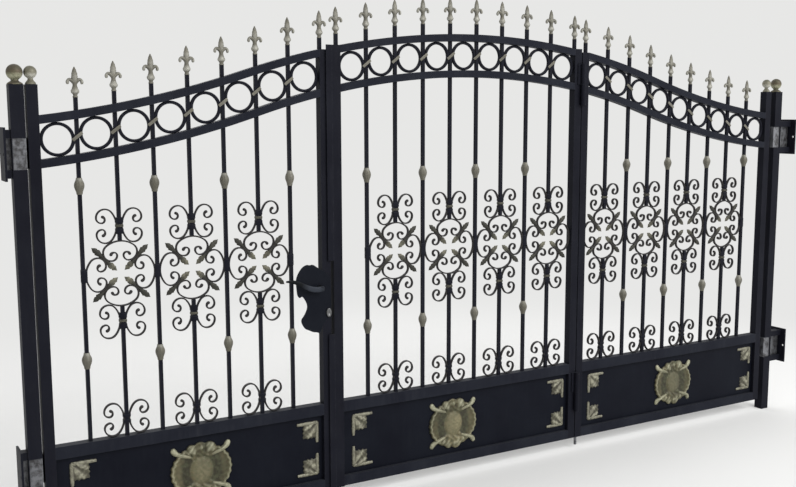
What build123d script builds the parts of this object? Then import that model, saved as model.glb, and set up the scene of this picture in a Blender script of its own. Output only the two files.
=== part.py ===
from build123d import *
import math
import os

# Driveway gate of three wrought iron leaves between two posts, in millimetres.
# X runs along the gate, Y goes into the yard, Z is up from ground level.
# The origin is the middle of the left post's foot.

# Posts
post_size = 50.0
post_wall = 3.0
post_height = 1780.0
cap_thickness = 4.0
ball_diameter = 57.0
ball_seat_diameter = 54.0
ball_seat_height = 14.0
ball_stem_diameter = 26.0
stile_ball_diameter = 46.0
stile_ball_seat_diameter = 38.0
stile_ball_seat_height = 20.0
stile_ball_stem_diameter = 18.0
ball_seat_lip = 3.0
ball_sides = 12

# Leaf frames
stile_width = 40.0
frame_depth = 40.0
tube_wall = 3.0
ground_gap = 62.0
bottom_rail_height = 44.0
middle_rail_height = 48.0
kick_panel_height = 289.0
arched_rail_height = 31.0
left_post_gap = 8.0
meeting_gap = 11.0
fold_gap = 5.0
right_post_gap = 31.0

# Cover strip on the middle leaf's front, which laps over the left leaf's lock stile
strip_thickness = 8.0
strip_lap = 15.0
strip_clearance = 5.0
strip_lock_margin = 8.0

# Curve through the ring centres: a crown arc with an end arc tangent to it on each side
crown_radius = 3400.0
end_radius = 4130.0
crest_rise = 144.5
crest_offset = -15.0
crown_half_span = 1060.0

# Infill
bar = 14.0
ring_diameter = 126.0
ring_bar = 12.0
ring_depth = 14.0
ring_sides = 12
seat_gap = 0.2
left_count = 7
middle_count = 8
right_count = 8
stub_height = 46.0
finial_height = 110.0
finial_arm_span = 61.0
finial_bulb_width = 34.0
finial_waist_width = 16.0
finial_blade_width = 20.0
finial_thickness = 12.0
stile_finial_inset = 12.0
knuckle_diameter = 34.0
knuckle_height = 62.0
knuckle_lip_diameter = 29.0
knuckle_waist_diameter = 24.0
knuckle_sides = 8
knuckle_corner_cover = 1.0
upper_knuckle_z = 1412.0
lower_knuckle_z = 754.0
tie_length = 46.0
tie_width = 12.0
tie_thickness = 4.0
tie_angle = 38.0

# Scrolls: every C is forged to one size, its rounds laid out in facets
scroll_bar = 6.0
scroll_depth = 14.0
scroll_height = 134.0
scroll_shoulder_radius = 32.0
scroll_shoulder_reach = 43.0
scroll_curl_radius = 20.0
scroll_end_radius = 12.0
scroll_end_turn = 160.0
facet_angle = 54.0

# Layout of the scrolls round a picket
quatrefoil_z = 1076.0
quatrefoil_rise = 127.0
pair_offset = 182.0
pair_band_height = 20.0
pair_band_offset = 21.0
foot_band_height = 12.0
foot_band_offset = 11.0
side_band_height = 50.0
band_wall = 2.5
leaf_length = 131.0
leaf_blade_width = 20.0
leaf_waist_width = 8.0
leaf_depth = 16.0
leaf_angle = 41.0
leaf_x = 60.5
leaf_rise = 58.0

# Kick panel and its castings
sheet_thickness = 4.0
medallion_drop = 2.5
medallion_offsets = {"left": 11.0, "middle": -44.0, "right": 13.0}
medallion_diameter = 245.0
medallion_lobes = 12
medallion_lobe_depth = 10.0
medallion_plate_rise = 5.0
wreath_crown_diameter = 180.0
wreath_inner_diameter = 136.0
wreath_rise = 14.0
boss_diameter = 118.0
boss_rise = 16.0
horn_span = 234.0
horn_height = 220.0
horn_width = 24.0
corner_body_width = 78.0
corner_body_height = 79.0
corner_level_arm = 106.0
corner_upright_arm = 98.0
corner_arm_width = 12.0
corner_rise = 7.0
corner_left_margin = 50.0
corner_right_margin = 19.0
corner_level_margin = 24.0

# Post hinges
hinge_pin_diameter = 10.0
hinge_running_clearance = 0.05
hinge_barrel_diameter = 24.0
hinge_setback = 12.0
hinge_height = 108.0
hinge_seat = 0.3
hinge_arm_thickness = 16.0
hinge_arm_lap = 2.0
hinge_leaf_thickness = 6.0
hinge_leaf_width = 36.0
hinge_web_lap = 10.0
notch_height = 112.0
notch_shelf = 6.0
upper_hinge_z = 1535.0
lower_hinge_z = 357.0

# Fold hinges between the middle and right leaves
fold_barrel_height = 196.0
fold_upper_z = 1805.0
fold_lower_z = 300.0
fold_leaf_width = 24.0
fold_leaf_thickness = 5.0
fold_cap = 8.0

# Wall brackets
bracket_arm_height = 30.0
bracket_arm_depth = 40.0
bracket_plate_thickness = 8.0
bracket_plate_depth = 98.0
bracket_plate_height = 190.0
bracket_hole_diameter = 13.0
bracket_hole_pitch = 70.0
bracket_web_thickness = 14.0
left_bracket_reach = 30.0
right_bracket_reach = 95.0

# Lock
lock_z = 905.0
lock_case_width = 50.0
lock_case_height = 220.0
lock_case_front_inset = 2.0
lock_plate_thickness = 4.0
lever_pivot_x_from_edge = 55.0
lever_pivot_rise = 44.0
lever_spindle_diameter = 16.0
lever_bar_thickness = 10.0
lever_standoff = 28.0
spindle_clearance = 0.3
key_x_from_edge = 14.0
key_drop = 65.0
key_width = 22.0
key_height = 38.0
key_rise = 6.0
key_sides = 12

# Drop bolt
bolt_diameter = 14.0
bolt_tip_z = 18.0
bolt_length = 420.0
bolt_guide_height = 24.0
bolt_guide_clearance = 0.3
bolt_travel = 60.0
bolt_knob_diameter = 10.0
bolt_knob_reach = 22.0
bolt_knob_drop = 30.0
slot_clearance = 1.0

# Outline of the lock plate, from the meeting edge and the lock's middle:
# scalloped top, bulge behind the lever, hooked lobe, waist, foot with scallops
lock_plate_outline = [
    (-139, 133), (-114, 147), (-99, 142), (-85, 146), (-62, 129), (-40, 118), (-14, 96),
    (0, 70), (0, -87), (-34, -103), (-54, -153), (-68, -145), (-87, -143), (-105, -133),
    (-126, -125), (-145, -88), (-127, -68), (-113, -40), (-113, -19), (-134, 17),
    (-146, 6), (-157, 19), (-160, 46), (-164, 91),
]
# Outline of the lever from its pivot: a swelling at the spindle, then an upswept tip
lever_outline = [
    (12, 0), (8, 12), (-40, 13), (-80, 19), (-115, 38), (-140, 47), (-164, 43),
    (-140, 32), (-112, 12), (-80, -7), (-40, -13), (8, -12),
]

# Places that follow from the sizes above
pitch = ring_diameter + bar
post_half = post_size / 2
frame_half = frame_depth / 2
bar_half = bar / 2
crest_height = post_height + crest_rise
lever_pivot_z = lock_z + lever_pivot_rise


def clear_width(count):
    # Width between the stiles of a leaf with this many pickets
    return (count + 1) * ring_diameter + count * bar


left_x0 = post_half + left_post_gap
left_x1 = left_x0 + clear_width(left_count) + 2 * stile_width
middle_x0 = left_x1 + meeting_gap
middle_x1 = middle_x0 + clear_width(middle_count) + 2 * stile_width
right_x0 = middle_x1 + fold_gap
right_x1 = right_x0 + clear_width(right_count) + 2 * stile_width
right_post_x = right_x1 + right_post_gap + post_half
crest_x = (left_x0 + right_x1) / 2 + crest_offset

bottom_rail_top = ground_gap + bottom_rail_height
middle_rail_bottom = bottom_rail_top + kick_panel_height
middle_rail_top = middle_rail_bottom + middle_rail_height
left_hinge_x = post_half + left_post_gap / 2
right_hinge_x = right_x1 + right_post_gap / 2
post_hinge_y = post_half + hinge_setback
fold_hinge_x = middle_x1 + fold_gap / 2
fold_hinge_y = -(frame_half + hinge_setback)

crown_centre = Vector(crest_x, 0, crest_height - crown_radius)
inflection_rise = math.sqrt(crown_radius**2 - crown_half_span**2)


def end_centre(side):
    # Centre of the end arc, on the line from the crown centre through the inflection
    start = Vector(side * crown_half_span, 0, inflection_rise)
    return crown_centre + start * ((crown_radius + end_radius) / crown_radius)


def curve_z(x, offset=0.0):
    # Height of the curve at x, moved outwards by the offset
    away = abs(x - crest_x)
    if away <= crown_half_span * (crown_radius + offset) / crown_radius:
        return crown_centre.Z + math.sqrt((crown_radius + offset) ** 2 - away**2)
    side = 1 if x > crest_x else -1
    centre = end_centre(side)
    return centre.Z - math.sqrt((end_radius - offset) ** 2 - (x - centre.X) ** 2)


def block(x0, x1, y0, y1, z0, z1):
    return Pos((x0 + x1) / 2, (y0 + y1) / 2, (z0 + z1) / 2) * Box(
        abs(x1 - x0), abs(y1 - y0), abs(z1 - z0)
    )


def square_bar(x, z0, z1):
    return block(x - bar_half, x + bar_half, -bar_half, bar_half, z0, z1)


def rod_z(x, y, z0, z1, diameter):
    return Pos(x, y, (z0 + z1) / 2) * Cylinder(diameter / 2, z1 - z0)


def rod_y(x, z, y0, y1, diameter):
    return Pos(x, (y0 + y1) / 2, z) * Rot(90, 0, 0) * Cylinder(diameter / 2, y1 - y0)


def upright(edges, depth):
    # Closed outline in the XZ plane, thickened evenly to both sides of it
    return extrude(make_face(edges), amount=depth / 2, dir=(0, 1, 0), both=True)


def cut_out(outline, depth):
    # Plate with a straight-edged outline of (x, z) points, standing in the XZ plane
    return upright([Polyline(*[point(x, z) for x, z in outline], close=True)], depth)


def turned(sections, sides):
    # Turned form in few flats: polygons of (height, radius) joined one above the other
    return loft([Pos(0, 0, z) * RegularPolygon(r, sides) for z, r in sections], ruled=True)


def point(x, z):
    return (x, 0, z)


def polar(radius, degrees):
    angle = math.radians(degrees)
    return radius * math.cos(angle), radius * math.sin(angle)


def curve_band(x0, x1, low, high, depth):
    # Strip between two offsets of the curve, cut square at x0 and x1
    def edge(offset, a, b):
        middle = (a + b) / 2
        return ThreePointArc(
            point(a, curve_z(a, offset)),
            point(middle, curve_z(middle, offset)),
            point(b, curve_z(b, offset)),
        )

    def run(offset):
        stops = [x0]
        for side in (-1, 1):
            x = crest_x + side * crown_half_span * (crown_radius + offset) / crown_radius
            if x0 < x < x1:
                stops.append(x)
        stops.append(x1)
        return [edge(offset, a, b) for a, b in zip(stops, stops[1:])]

    sides = [
        Line(point(x, curve_z(x, low)), point(x, curve_z(x, high)))
        for x in (x0, x1)
    ]
    return upright(run(low) + run(high) + sides, depth)


def tube(x0, x1, half, z0, z1, wall):
    # Upright square tube with a closed top and an open foot
    outer = block(x0, x1, -half, half, z0, z1)
    inner = block(x0 + wall, x1 - wall, -half + wall, half - wall, z0, z1 - cap_thickness)
    return outer - inner


def picket_xs(x0, count):
    first = x0 + stile_width + ring_diameter + bar_half
    return [first + pitch * i for i in range(count)]


def ring_xs(x0, count):
    first = x0 + stile_width + ring_diameter / 2
    return [first + pitch * i for i in range(count + 1)]


def ball_finial(x, z, ball, seat, seat_height, stem):
    # Ball on a flared seat that stands on a tube's cap
    r = ball / 2
    sections = [(0, seat / 2), (ball_seat_lip, seat / 2), (seat_height, stem / 2)]
    for latitude in (-60, -30, 0, 30, 60, 80):
        across, up = polar(r, latitude)
        sections.append((seat_height + r + up, across))
    return Pos(x, 0, z) * turned(sections, ball_sides)


def spear_finial(x, z):
    # Flat spear head with two drooping arms over a round bulb
    arm = finial_arm_span / 2
    blade = finial_blade_width / 2
    waist = finial_waist_width / 2
    bulb = finial_bulb_width / 2
    half_outline = [
        (bar_half, 0), (bar_half, 0.16), (bulb, 0.25), (bulb, 0.33), (waist, 0.46),
        (waist, 0.53), (0.9 * arm, 0.48), (arm, 0.55), (0.78 * arm, 0.66), (blade, 0.74),
    ]
    right = [(x + a, z + b * finial_height) for a, b in half_outline]
    left = [(x - a, z + b * finial_height) for a, b in reversed(half_outline)]
    return cut_out(right + [(x, z + finial_height)] + left, finial_thickness)


def knuckle(x, z):
    # Turned tulip collar round a picket
    half = knuckle_height / 2
    end = bar / math.sqrt(2) + knuckle_corner_cover
    sections = [
        (-half, end), (-0.55 * half, knuckle_waist_diameter / 2), (0.15 * half, knuckle_diameter / 2),
        (0.6 * half, knuckle_waist_diameter / 2), (0.82 * half, knuckle_lip_diameter / 2), (half, end),
    ]
    return Pos(x, 0, z) * turned(sections, knuckle_sides) - square_bar(x, z - half - 1, z + half + 1)


def ring_tie(x, z, turn):
    # Small flat bar laid across the front of a picket between two rings
    y = -bar_half - tie_thickness / 2
    return Pos(x, y, z) * Rot(0, -turn, 0) * Box(tie_length, tie_thickness, tie_width)


def ring(x, z):
    # Ring of square bar in flats, its outer corners a seat gap inside the opening
    outer = ring_diameter / 2 - seat_gap
    inner = outer - ring_bar / math.cos(math.pi / ring_sides)
    face = RegularPolygon(outer, ring_sides) - RegularPolygon(inner, ring_sides)
    flat = extrude(face, amount=ring_depth / 2, both=True)
    return Pos(x, 0, z) * Rot(90, 0, 0) * flat


def scroll_arcs():
    # Tangent arcs (centre reach, centre rise, radius, from, to) of a C's upper half.
    # The back's radius follows from being tangent to the shoulder.
    shoulder_z = (scroll_height - scroll_bar) / 2 - scroll_shoulder_radius
    shoulder_x = scroll_shoulder_reach
    run = shoulder_x - scroll_shoulder_radius
    back = shoulder_x**2 + shoulder_z**2 - scroll_shoulder_radius**2
    back_radius = back / (2 * run)
    meet = math.degrees(math.atan2(shoulder_z, shoulder_x - back_radius))
    curl_x = shoulder_x + scroll_shoulder_radius - scroll_curl_radius
    end_z = shoulder_z - scroll_curl_radius + scroll_end_radius
    return [
        (back_radius, 0.0, back_radius, 180.0, meet),
        (shoulder_x, shoulder_z, scroll_shoulder_radius, meet, 0.0),
        (curl_x, shoulder_z, scroll_curl_radius, 0.0, -90.0),
        (curl_x, end_z, scroll_end_radius, -90.0, -90.0 - scroll_end_turn),
    ]


def scroll_edge(offset):
    # Corners of the facets that touch the arcs, moved outwards by the offset
    corners = []
    for cx, cz, radius, start, stop in scroll_arcs():
        count = math.ceil(abs(stop - start) / facet_angle)
        step = (stop - start) / count
        reach = (radius + offset) / math.cos(math.radians(step / 2))
        for i in range(count):
            dx, dz = polar(reach, start + (i + 0.5) * step)
            corners.append((cx + dx, cz + dz))
    dx, dz = polar(radius + offset, stop)
    return corners + [(cx + dx, cz + dz)]


def build_scroll():
    # One C that opens towards +X, with the middle line of its back through the origin
    outer = scroll_edge(scroll_bar / 2)
    inner = scroll_edge(-scroll_bar / 2)
    upper = outer + inner[::-1]
    lower = [(x, -z) for x, z in reversed(upper)]
    return cut_out(upper + lower, scroll_depth)


def scroll_half_height():
    return max(z for _, z in scroll_edge(scroll_bar / 2))


def scroll_pair(scroll, z):
    # Two Cs back to back on the sides of a picket that stands at x = 0
    off = bar_half + scroll_bar / 2
    return [Pos(side * off, 0, z) * Rot(0, 90 - 90 * side, 0) * scroll for side in (-1, 1)]


def band(x, z, height):
    # Box collar that binds a picket and the C backs beside it
    half_width = bar_half + scroll_bar + band_wall
    half_depth = scroll_depth / 2 + band_wall
    return block(x - half_width, x + half_width, -half_depth, half_depth, z - height / 2, z + height / 2)


def double_leaf(side, way):
    # Two pointed blades in line across the gap between two Cs
    tip = leaf_length / 2
    blade = leaf_blade_width / 2
    waist = leaf_waist_width / 2
    outline = [
        (-tip, 0), (-0.5 * tip, -blade), (0, -waist), (0.5 * tip, -blade),
        (tip, 0), (0.5 * tip, blade), (0, waist), (-0.5 * tip, blade),
    ]
    turn = leaf_angle if side == way else 180 - leaf_angle
    return Pos(side * leaf_x, 0, quatrefoil_z + way * leaf_rise) * Rot(0, -turn, 0) * cut_out(
        outline, leaf_depth
    )


def scroll_unit():
    # What is forged round a picket at x = 0: quatrefoil with a pair above and below, and a foot pair
    scroll = build_scroll()
    side_reach = pitch - bar_half - scroll_bar / 2
    rise_reach = quatrefoil_rise - scroll_bar / 2
    shapes = [
        Pos(side_reach, 0, quatrefoil_z) * Rot(0, 180, 0) * scroll,
        Pos(-side_reach, 0, quatrefoil_z) * scroll,
        Pos(0, 0, quatrefoil_z + rise_reach) * Rot(0, 90, 0) * scroll,
        Pos(0, 0, quatrefoil_z - rise_reach) * Rot(0, -90, 0) * scroll,
    ]
    for side in (-1, 1):
        for way in (-1, 1):
            shapes.append(double_leaf(side, way))
        pair_z = quatrefoil_z + side * pair_offset
        shapes += scroll_pair(scroll, pair_z)
        for way in (-1, 1):
            shapes.append(band(0, pair_z + way * pair_band_offset, pair_band_height))
    foot_z = middle_rail_top + scroll_half_height() + seat_gap
    foot = scroll_pair(scroll, foot_z)
    for way in (-1, 1):
        foot.append(band(0, foot_z + way * foot_band_offset, foot_band_height))
    pickets = [
        square_bar(0, middle_rail_top, quatrefoil_z - quatrefoil_rise),
        square_bar(0, quatrefoil_z + quatrefoil_rise, crest_height),
    ]
    upper = shapes[0].fuse(*shapes[1:]).cut(*pickets)
    lower = foot[0].fuse(*foot[1:]).cut(pickets[0])
    return upper, lower


parts = {}


def add(name, *shapes):
    solids = [s for shape in shapes for s in shape.solids()]
    parts[name] = Compound(children=solids) if len(solids) > 1 else solids[0]


def posts():
    notch_half = notch_height / 2
    for name, x, side in (("left_post", 0.0, 1), ("right_post", right_post_x, -1)):
        post = tube(x - post_half, x + post_half, post_half, 0, post_height, post_wall)
        near = x + side * (post_half + 1)
        far = x - side * (post_half - post_wall)
        for z in (upper_hinge_z, lower_hinge_z):
            post = post - block(near, far, -post_half - 1, post_half + 1, z - notch_half, z + notch_half)
        add(name, post)
    add("post_balls", *[
        ball_finial(x, post_height, ball_diameter, ball_seat_diameter, ball_seat_height, ball_stem_diameter)
        for x in (0, right_post_x)
    ])


def post_hinges(webs):
    # Fixed knuckles with their pins stand in the posts' notches, with the brackets' webs
    third = hinge_height / 3
    r = hinge_barrel_diameter / 2
    fixed = []
    for post_x, hinge_x, side in ((0.0, left_hinge_x, 1), (right_post_x, right_hinge_x, -1)):
        wall_x = post_x - side * (post_half - post_wall)
        arm_x = hinge_x - side * hinge_arm_lap
        for z in (upper_hinge_z, lower_hinge_z):
            low = z - notch_height / 2
            high = z + notch_height / 2
            body = block(wall_x, post_x + side * post_half, -post_half + notch_shelf, post_half, low, high)
            arms = block(
                post_x, arm_x, post_half - hinge_arm_thickness, post_hinge_y + hinge_arm_lap, low, high
            )
            barrel = rod_z(hinge_x, post_hinge_y, low, high, hinge_barrel_diameter)
            room = block(
                min(hinge_x, post_x) - stile_width, max(hinge_x, post_x) + stile_width,
                post_half, post_hinge_y + r + 1, z - third / 2, z + third / 2,
            )
            pin = rod_z(hinge_x, post_hinge_y, low, high, hinge_pin_diameter)
            fixed.append(body + (arms + barrel - room) + pin)
    add("post_hinges", *fixed, *webs)
    for name, hinge_x, stile_x, side in (
        ("left_leaf_hinges", left_hinge_x, left_x0, 1),
        ("right_leaf_hinges", right_hinge_x, right_x1, -1),
    ):
        moving = []
        for z in (upper_hinge_z, lower_hinge_z):
            low = z - third / 2 + hinge_seat
            high = z + third / 2 - hinge_seat
            barrel = rod_z(hinge_x, post_hinge_y, low, high, hinge_barrel_diameter)
            leaf = block(
                stile_x, stile_x + side * hinge_leaf_width,
                frame_half, frame_half + hinge_leaf_thickness, low, high,
            )
            web = block(hinge_x, stile_x + side * hinge_web_lap, frame_half, post_hinge_y, low, high)
            bore = rod_z(
                hinge_x, post_hinge_y, low - 1, high + 1,
                hinge_pin_diameter + 2 * hinge_running_clearance,
            )
            moving.append(barrel + leaf + web - bore)
        add(name, *moving)


def fold_hinges():
    # Lower halves carry the pins on the right leaf, upper halves turn with the middle leaf
    half = fold_barrel_height / 2
    pin_run = half - fold_cap
    for name, way in (("fold_hinge_lower_halves", -1), ("fold_hinge_upper_halves", 1)):
        pieces = []
        for z in (fold_upper_z, fold_lower_z):
            if way < 0:
                low, high = z - half, z
                near, far = right_x0, right_x0 + fold_leaf_width
            else:
                low, high = z + hinge_seat, z + half
                near, far = middle_x1 - fold_leaf_width, middle_x1
            barrel = rod_z(fold_hinge_x, fold_hinge_y, low, high, hinge_barrel_diameter)
            leaf = block(near, far, -frame_half - fold_leaf_thickness, -frame_half, low, high)
            piece = barrel + leaf
            if way < 0:
                piece = piece + rod_z(fold_hinge_x, fold_hinge_y, z - 1, z + pin_run, hinge_pin_diameter)
            else:
                piece = piece - rod_z(
                    fold_hinge_x, fold_hinge_y, low - 1, z + pin_run + 1,
                    hinge_pin_diameter + 2 * hinge_running_clearance,
                )
            pieces.append(piece)
        add(name, *pieces)


def wall_brackets():
    # Flange plates with two arms each, welded to the outer sides of the posts. A web between
    # the arms carries the hinge's load to the plate
    plates = []
    webs = []
    for post_x, side, reach in (
        (0.0, -1, left_bracket_reach), (right_post_x, 1, right_bracket_reach),
    ):
        face = post_x + side * post_half
        end = face + side * reach
        back = end - side * bracket_plate_thickness
        for z in (upper_hinge_z, lower_hinge_z):
            plate = block(
                end, back, -bracket_plate_depth / 2, bracket_plate_depth / 2,
                z - bracket_plate_height / 2, z + bracket_plate_height / 2,
            )
            for way in (-1, 1):
                arm_z = z + way * (notch_height + bracket_arm_height) / 2
                plate = plate + block(
                    face, end, -bracket_arm_depth / 2, bracket_arm_depth / 2,
                    arm_z - bracket_arm_height / 2, arm_z + bracket_arm_height / 2,
                )
                hole_y = way * bracket_hole_pitch / 2
                hole = Pos((end + back) / 2, hole_y, z) * Rot(0, 90, 0) * Cylinder(
                    bracket_hole_diameter / 2, bracket_plate_thickness + 4
                )
                plate = plate - hole
            plates.append(plate)
            webs.append(block(
                face, back, 0, bracket_web_thickness, z - notch_height / 2, z + notch_height / 2
            ))
    add("wall_brackets", *plates)
    return webs


def stile(x0, top):
    return tube(x0, x0 + stile_width, frame_half, ground_gap, top, tube_wall)


def leaf_frame(name, x0, x1, count):
    inner0 = x0 + stile_width
    inner1 = x1 - stile_width
    low = ring_diameter / 2
    above = crest_height + ring_diameter
    holes = [square_bar(x, middle_rail_top, above) for x in picket_xs(x0, count)]
    upper = curve_band(inner0, inner1, low, low + arched_rail_height, frame_depth)
    lower = curve_band(inner0, inner1, -low - arched_rail_height, -low, frame_depth)
    add(name + "_arched_rails", upper.cut(*holes), lower.cut(*holes))
    add(
        name + "_level_rails",
        block(inner0, inner1, -frame_half, frame_half, ground_gap, bottom_rail_top),
        block(inner0, inner1, -frame_half, frame_half, middle_rail_bottom, middle_rail_top),
    )
    half = sheet_thickness / 2
    add(name + "_kick_panel", block(inner0, inner1, -half, half, bottom_rail_top, middle_rail_bottom))


def medallion():
    # Lobed plate with a raised wreath, a domed boss and four horns, rising along +Z
    count = 2 * medallion_lobes
    radius = medallion_diameter / 2
    rim = []
    for i in range(count):
        r = radius - medallion_lobe_depth * (i % 2)
        rim.append(polar(r, 360.0 * i / count + 360.0 / count))
    plate = make_face(Polyline(*rim, close=True))
    horn_turn = math.degrees(math.atan2(horn_height, horn_span))
    horn_reach = math.hypot(horn_span, horn_height) / 2
    for turn in (horn_turn, 180 - horn_turn, 180 + horn_turn, -horn_turn):
        plate = plate + Rot(0, 0, turn) * Pos(horn_reach / 2, 0) * Rectangle(horn_reach, horn_width)
    body = extrude(plate, amount=medallion_plate_rise)
    crown = wreath_crown_diameter / 2
    wreath = turned(
        [(medallion_plate_rise, radius - medallion_lobe_depth), (wreath_rise, crown)], medallion_lobes
    )
    hollow = turned(
        [(medallion_plate_rise, wreath_inner_diameter / 2), (wreath_rise + 1, crown)], medallion_lobes
    )
    boss = turned([
        (medallion_plate_rise, boss_diameter / 2),
        (0.75 * boss_rise, 0.4 * boss_diameter),
        (boss_rise, 0.2 * boss_diameter),
    ], medallion_lobes)
    return body + (wreath - hollow) + boss


def corner_casting():
    # Leafy corner piece with an arm along each edge, its corner at the origin, rising along +Z
    outline = [
        (0, 0), (corner_level_arm, 0), (corner_body_width, corner_arm_width),
        (corner_body_width, 0.84 * corner_body_height), (0.84 * corner_body_width, corner_body_height),
        (corner_arm_width, corner_body_height), (0.6 * corner_arm_width, corner_upright_arm),
        (0, corner_upright_arm),
    ]
    return extrude(make_face(Polyline(*outline, close=True)), amount=corner_rise)


def panel_ornaments(name, x0, x1):
    # The same castings on the front and the back of the sheet
    a = x0 + stile_width + corner_left_margin
    b = x1 - stile_width - corner_right_margin
    low = bottom_rail_top + corner_level_margin
    high = middle_rail_bottom - corner_level_margin
    medallion_z = (low + high) / 2 - medallion_drop
    flat = [Pos((x0 + x1) / 2 + medallion_offsets[name], medallion_z) * medallion()]
    corner = corner_casting()
    flat.append(Pos(a, low) * corner)
    flat.append(Pos(b, low) * mirror(corner, about=Plane.YZ))
    flat.append(Pos(a, high) * mirror(corner, about=Plane.XZ))
    flat.append(Pos(b, high) * Rot(0, 0, 180) * corner)
    front = [Pos(0, -sheet_thickness / 2, 0) * Rot(90, 0, 0) * piece for piece in flat]
    back = [mirror(piece, about=Plane.XZ) for piece in front]
    add(name + "_panel_ornaments", *front, *back)


def leaf_infill(name, x0, count, tops, unit):
    first_scroll = 0 if name == "right" else 1
    turn = -tie_angle if name == "right" else tie_angle
    stub_off = ring_diameter / 2 + arched_rail_height
    pickets = []
    mains = []
    feet = []
    bands = []
    knuckles = []
    finials = []
    ties = []
    for i, x in enumerate(picket_xs(x0, count)):
        top = curve_z(x, stub_off) + stub_height
        if i % 2 == first_scroll:
            pickets.append(square_bar(x, quatrefoil_z + quatrefoil_rise, top))
            pickets.append(square_bar(x, middle_rail_top, quatrefoil_z - quatrefoil_rise))
            mains.append(Pos(x, 0, 0) * unit[0])
            feet.append(Pos(x, 0, 0) * unit[1])
        else:
            whole = square_bar(x, middle_rail_top, top)
            pickets.append(whole)
            bands.append(band(x, quatrefoil_z, side_band_height) - whole)
            knuckles.append(knuckle(x, upper_knuckle_z))
            knuckles.append(knuckle(x, lower_knuckle_z))
        finials.append(spear_finial(x, top))
        ties.append(ring_tie(x, curve_z(x), turn))
    for x, z in tops:
        pickets.append(square_bar(x, z, z + stub_height))
        finials.append(spear_finial(x, z + stub_height))
    add(name + "_pickets", *pickets)
    add(name + "_knuckles", *knuckles, *ties)
    add(name + "_scrollwork", mains[0].fuse(*mains[1:], *bands), *feet)
    add(name + "_rings", *[ring(x, curve_z(x)) for x in ring_xs(x0, count)])
    return finials


def meeting_strip(top):
    # Flat bar on the middle leaf's lock stile. Thin lips on its edge lap over the left leaf's
    # stile, one below the lock plate and one above it
    front = -frame_half - strip_thickness
    add("meeting_strip", block(
        middle_x0, middle_x0 + stile_width, front, -frame_half, ground_gap, top
    ))
    highest = lock_z + max(z for _, z in lock_plate_outline) + strip_lock_margin
    lowest = lock_z + min(z for _, z in lock_plate_outline) - strip_lock_margin
    lips = [
        block(left_x1 - strip_lap, middle_x0, front, -frame_half - strip_clearance, low, high)
        for low, high in ((ground_gap, lowest), (highest, top))
    ]
    add("meeting_lips", *lips)


def lock():
    case_x1 = left_x1 - stile_width
    add("lock_case", block(
        case_x1 - lock_case_width, case_x1, -frame_half + lock_case_front_inset, frame_half,
        lock_z - lock_case_height / 2, lock_z + lock_case_height / 2,
    ))
    front = -frame_half - lock_plate_thickness
    plate_y = -frame_half - lock_plate_thickness / 2
    pivot_x = left_x1 - lever_pivot_x_from_edge
    plate = Pos(left_x1, plate_y, lock_z) * cut_out(lock_plate_outline, lock_plate_thickness)
    oval = [polar(0.5, 360.0 * i / key_sides) for i in range(key_sides)]
    key = Pos(left_x1 - key_x_from_edge, front - key_rise / 2, lock_z - key_drop) * cut_out(
        [(x * key_width, z * key_height) for x, z in oval], key_rise
    )
    hole = rod_y(
        pivot_x, lever_pivot_z, front - 1, -frame_half + 1,
        lever_spindle_diameter + 2 * spindle_clearance,
    )
    add("lock_plate", plate + key - hole)
    bar_y = front - lever_standoff
    spindle = rod_y(pivot_x, lever_pivot_z, bar_y, -frame_half - spindle_clearance, lever_spindle_diameter)
    arm = Pos(pivot_x, bar_y + lever_bar_thickness / 2, lever_pivot_z) * cut_out(
        lever_outline, lever_bar_thickness
    )
    add("lock_lever", spindle + arm)


def drop_bolt():
    x = right_x0 + stile_width / 2
    rod = rod_z(x, 0, bolt_tip_z, bolt_tip_z + bolt_length, bolt_diameter)
    knob_z = bolt_tip_z + bolt_length - bolt_knob_drop
    knob = rod_y(x, knob_z, 0, frame_half + bolt_knob_reach, bolt_knob_diameter)
    add("drop_bolt", rod + knob)
    return x, knob_z


def right_fold_stile(top, bolt_x, knob_z):
    # Stile with the drop bolt's guide in its foot and the knob's slot in its back
    inset = tube_wall
    guide = block(
        right_x0 + inset, right_x0 + stile_width - inset,
        -frame_half + inset, frame_half - inset, ground_gap, ground_gap + bolt_guide_height,
    )
    hole = rod_z(
        bolt_x, 0, ground_gap - 1, ground_gap + bolt_guide_height + 1,
        bolt_diameter + 2 * bolt_guide_clearance,
    )
    slot_half = bolt_knob_diameter / 2 + slot_clearance
    slot = block(
        bolt_x - slot_half, bolt_x + slot_half, frame_half - inset - 1, frame_half + 1,
        knob_z - bolt_travel - slot_half, knob_z + slot_half,
    )
    add("right_fold_stile", stile(right_x0, top) + guide - hole - slot)


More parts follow.
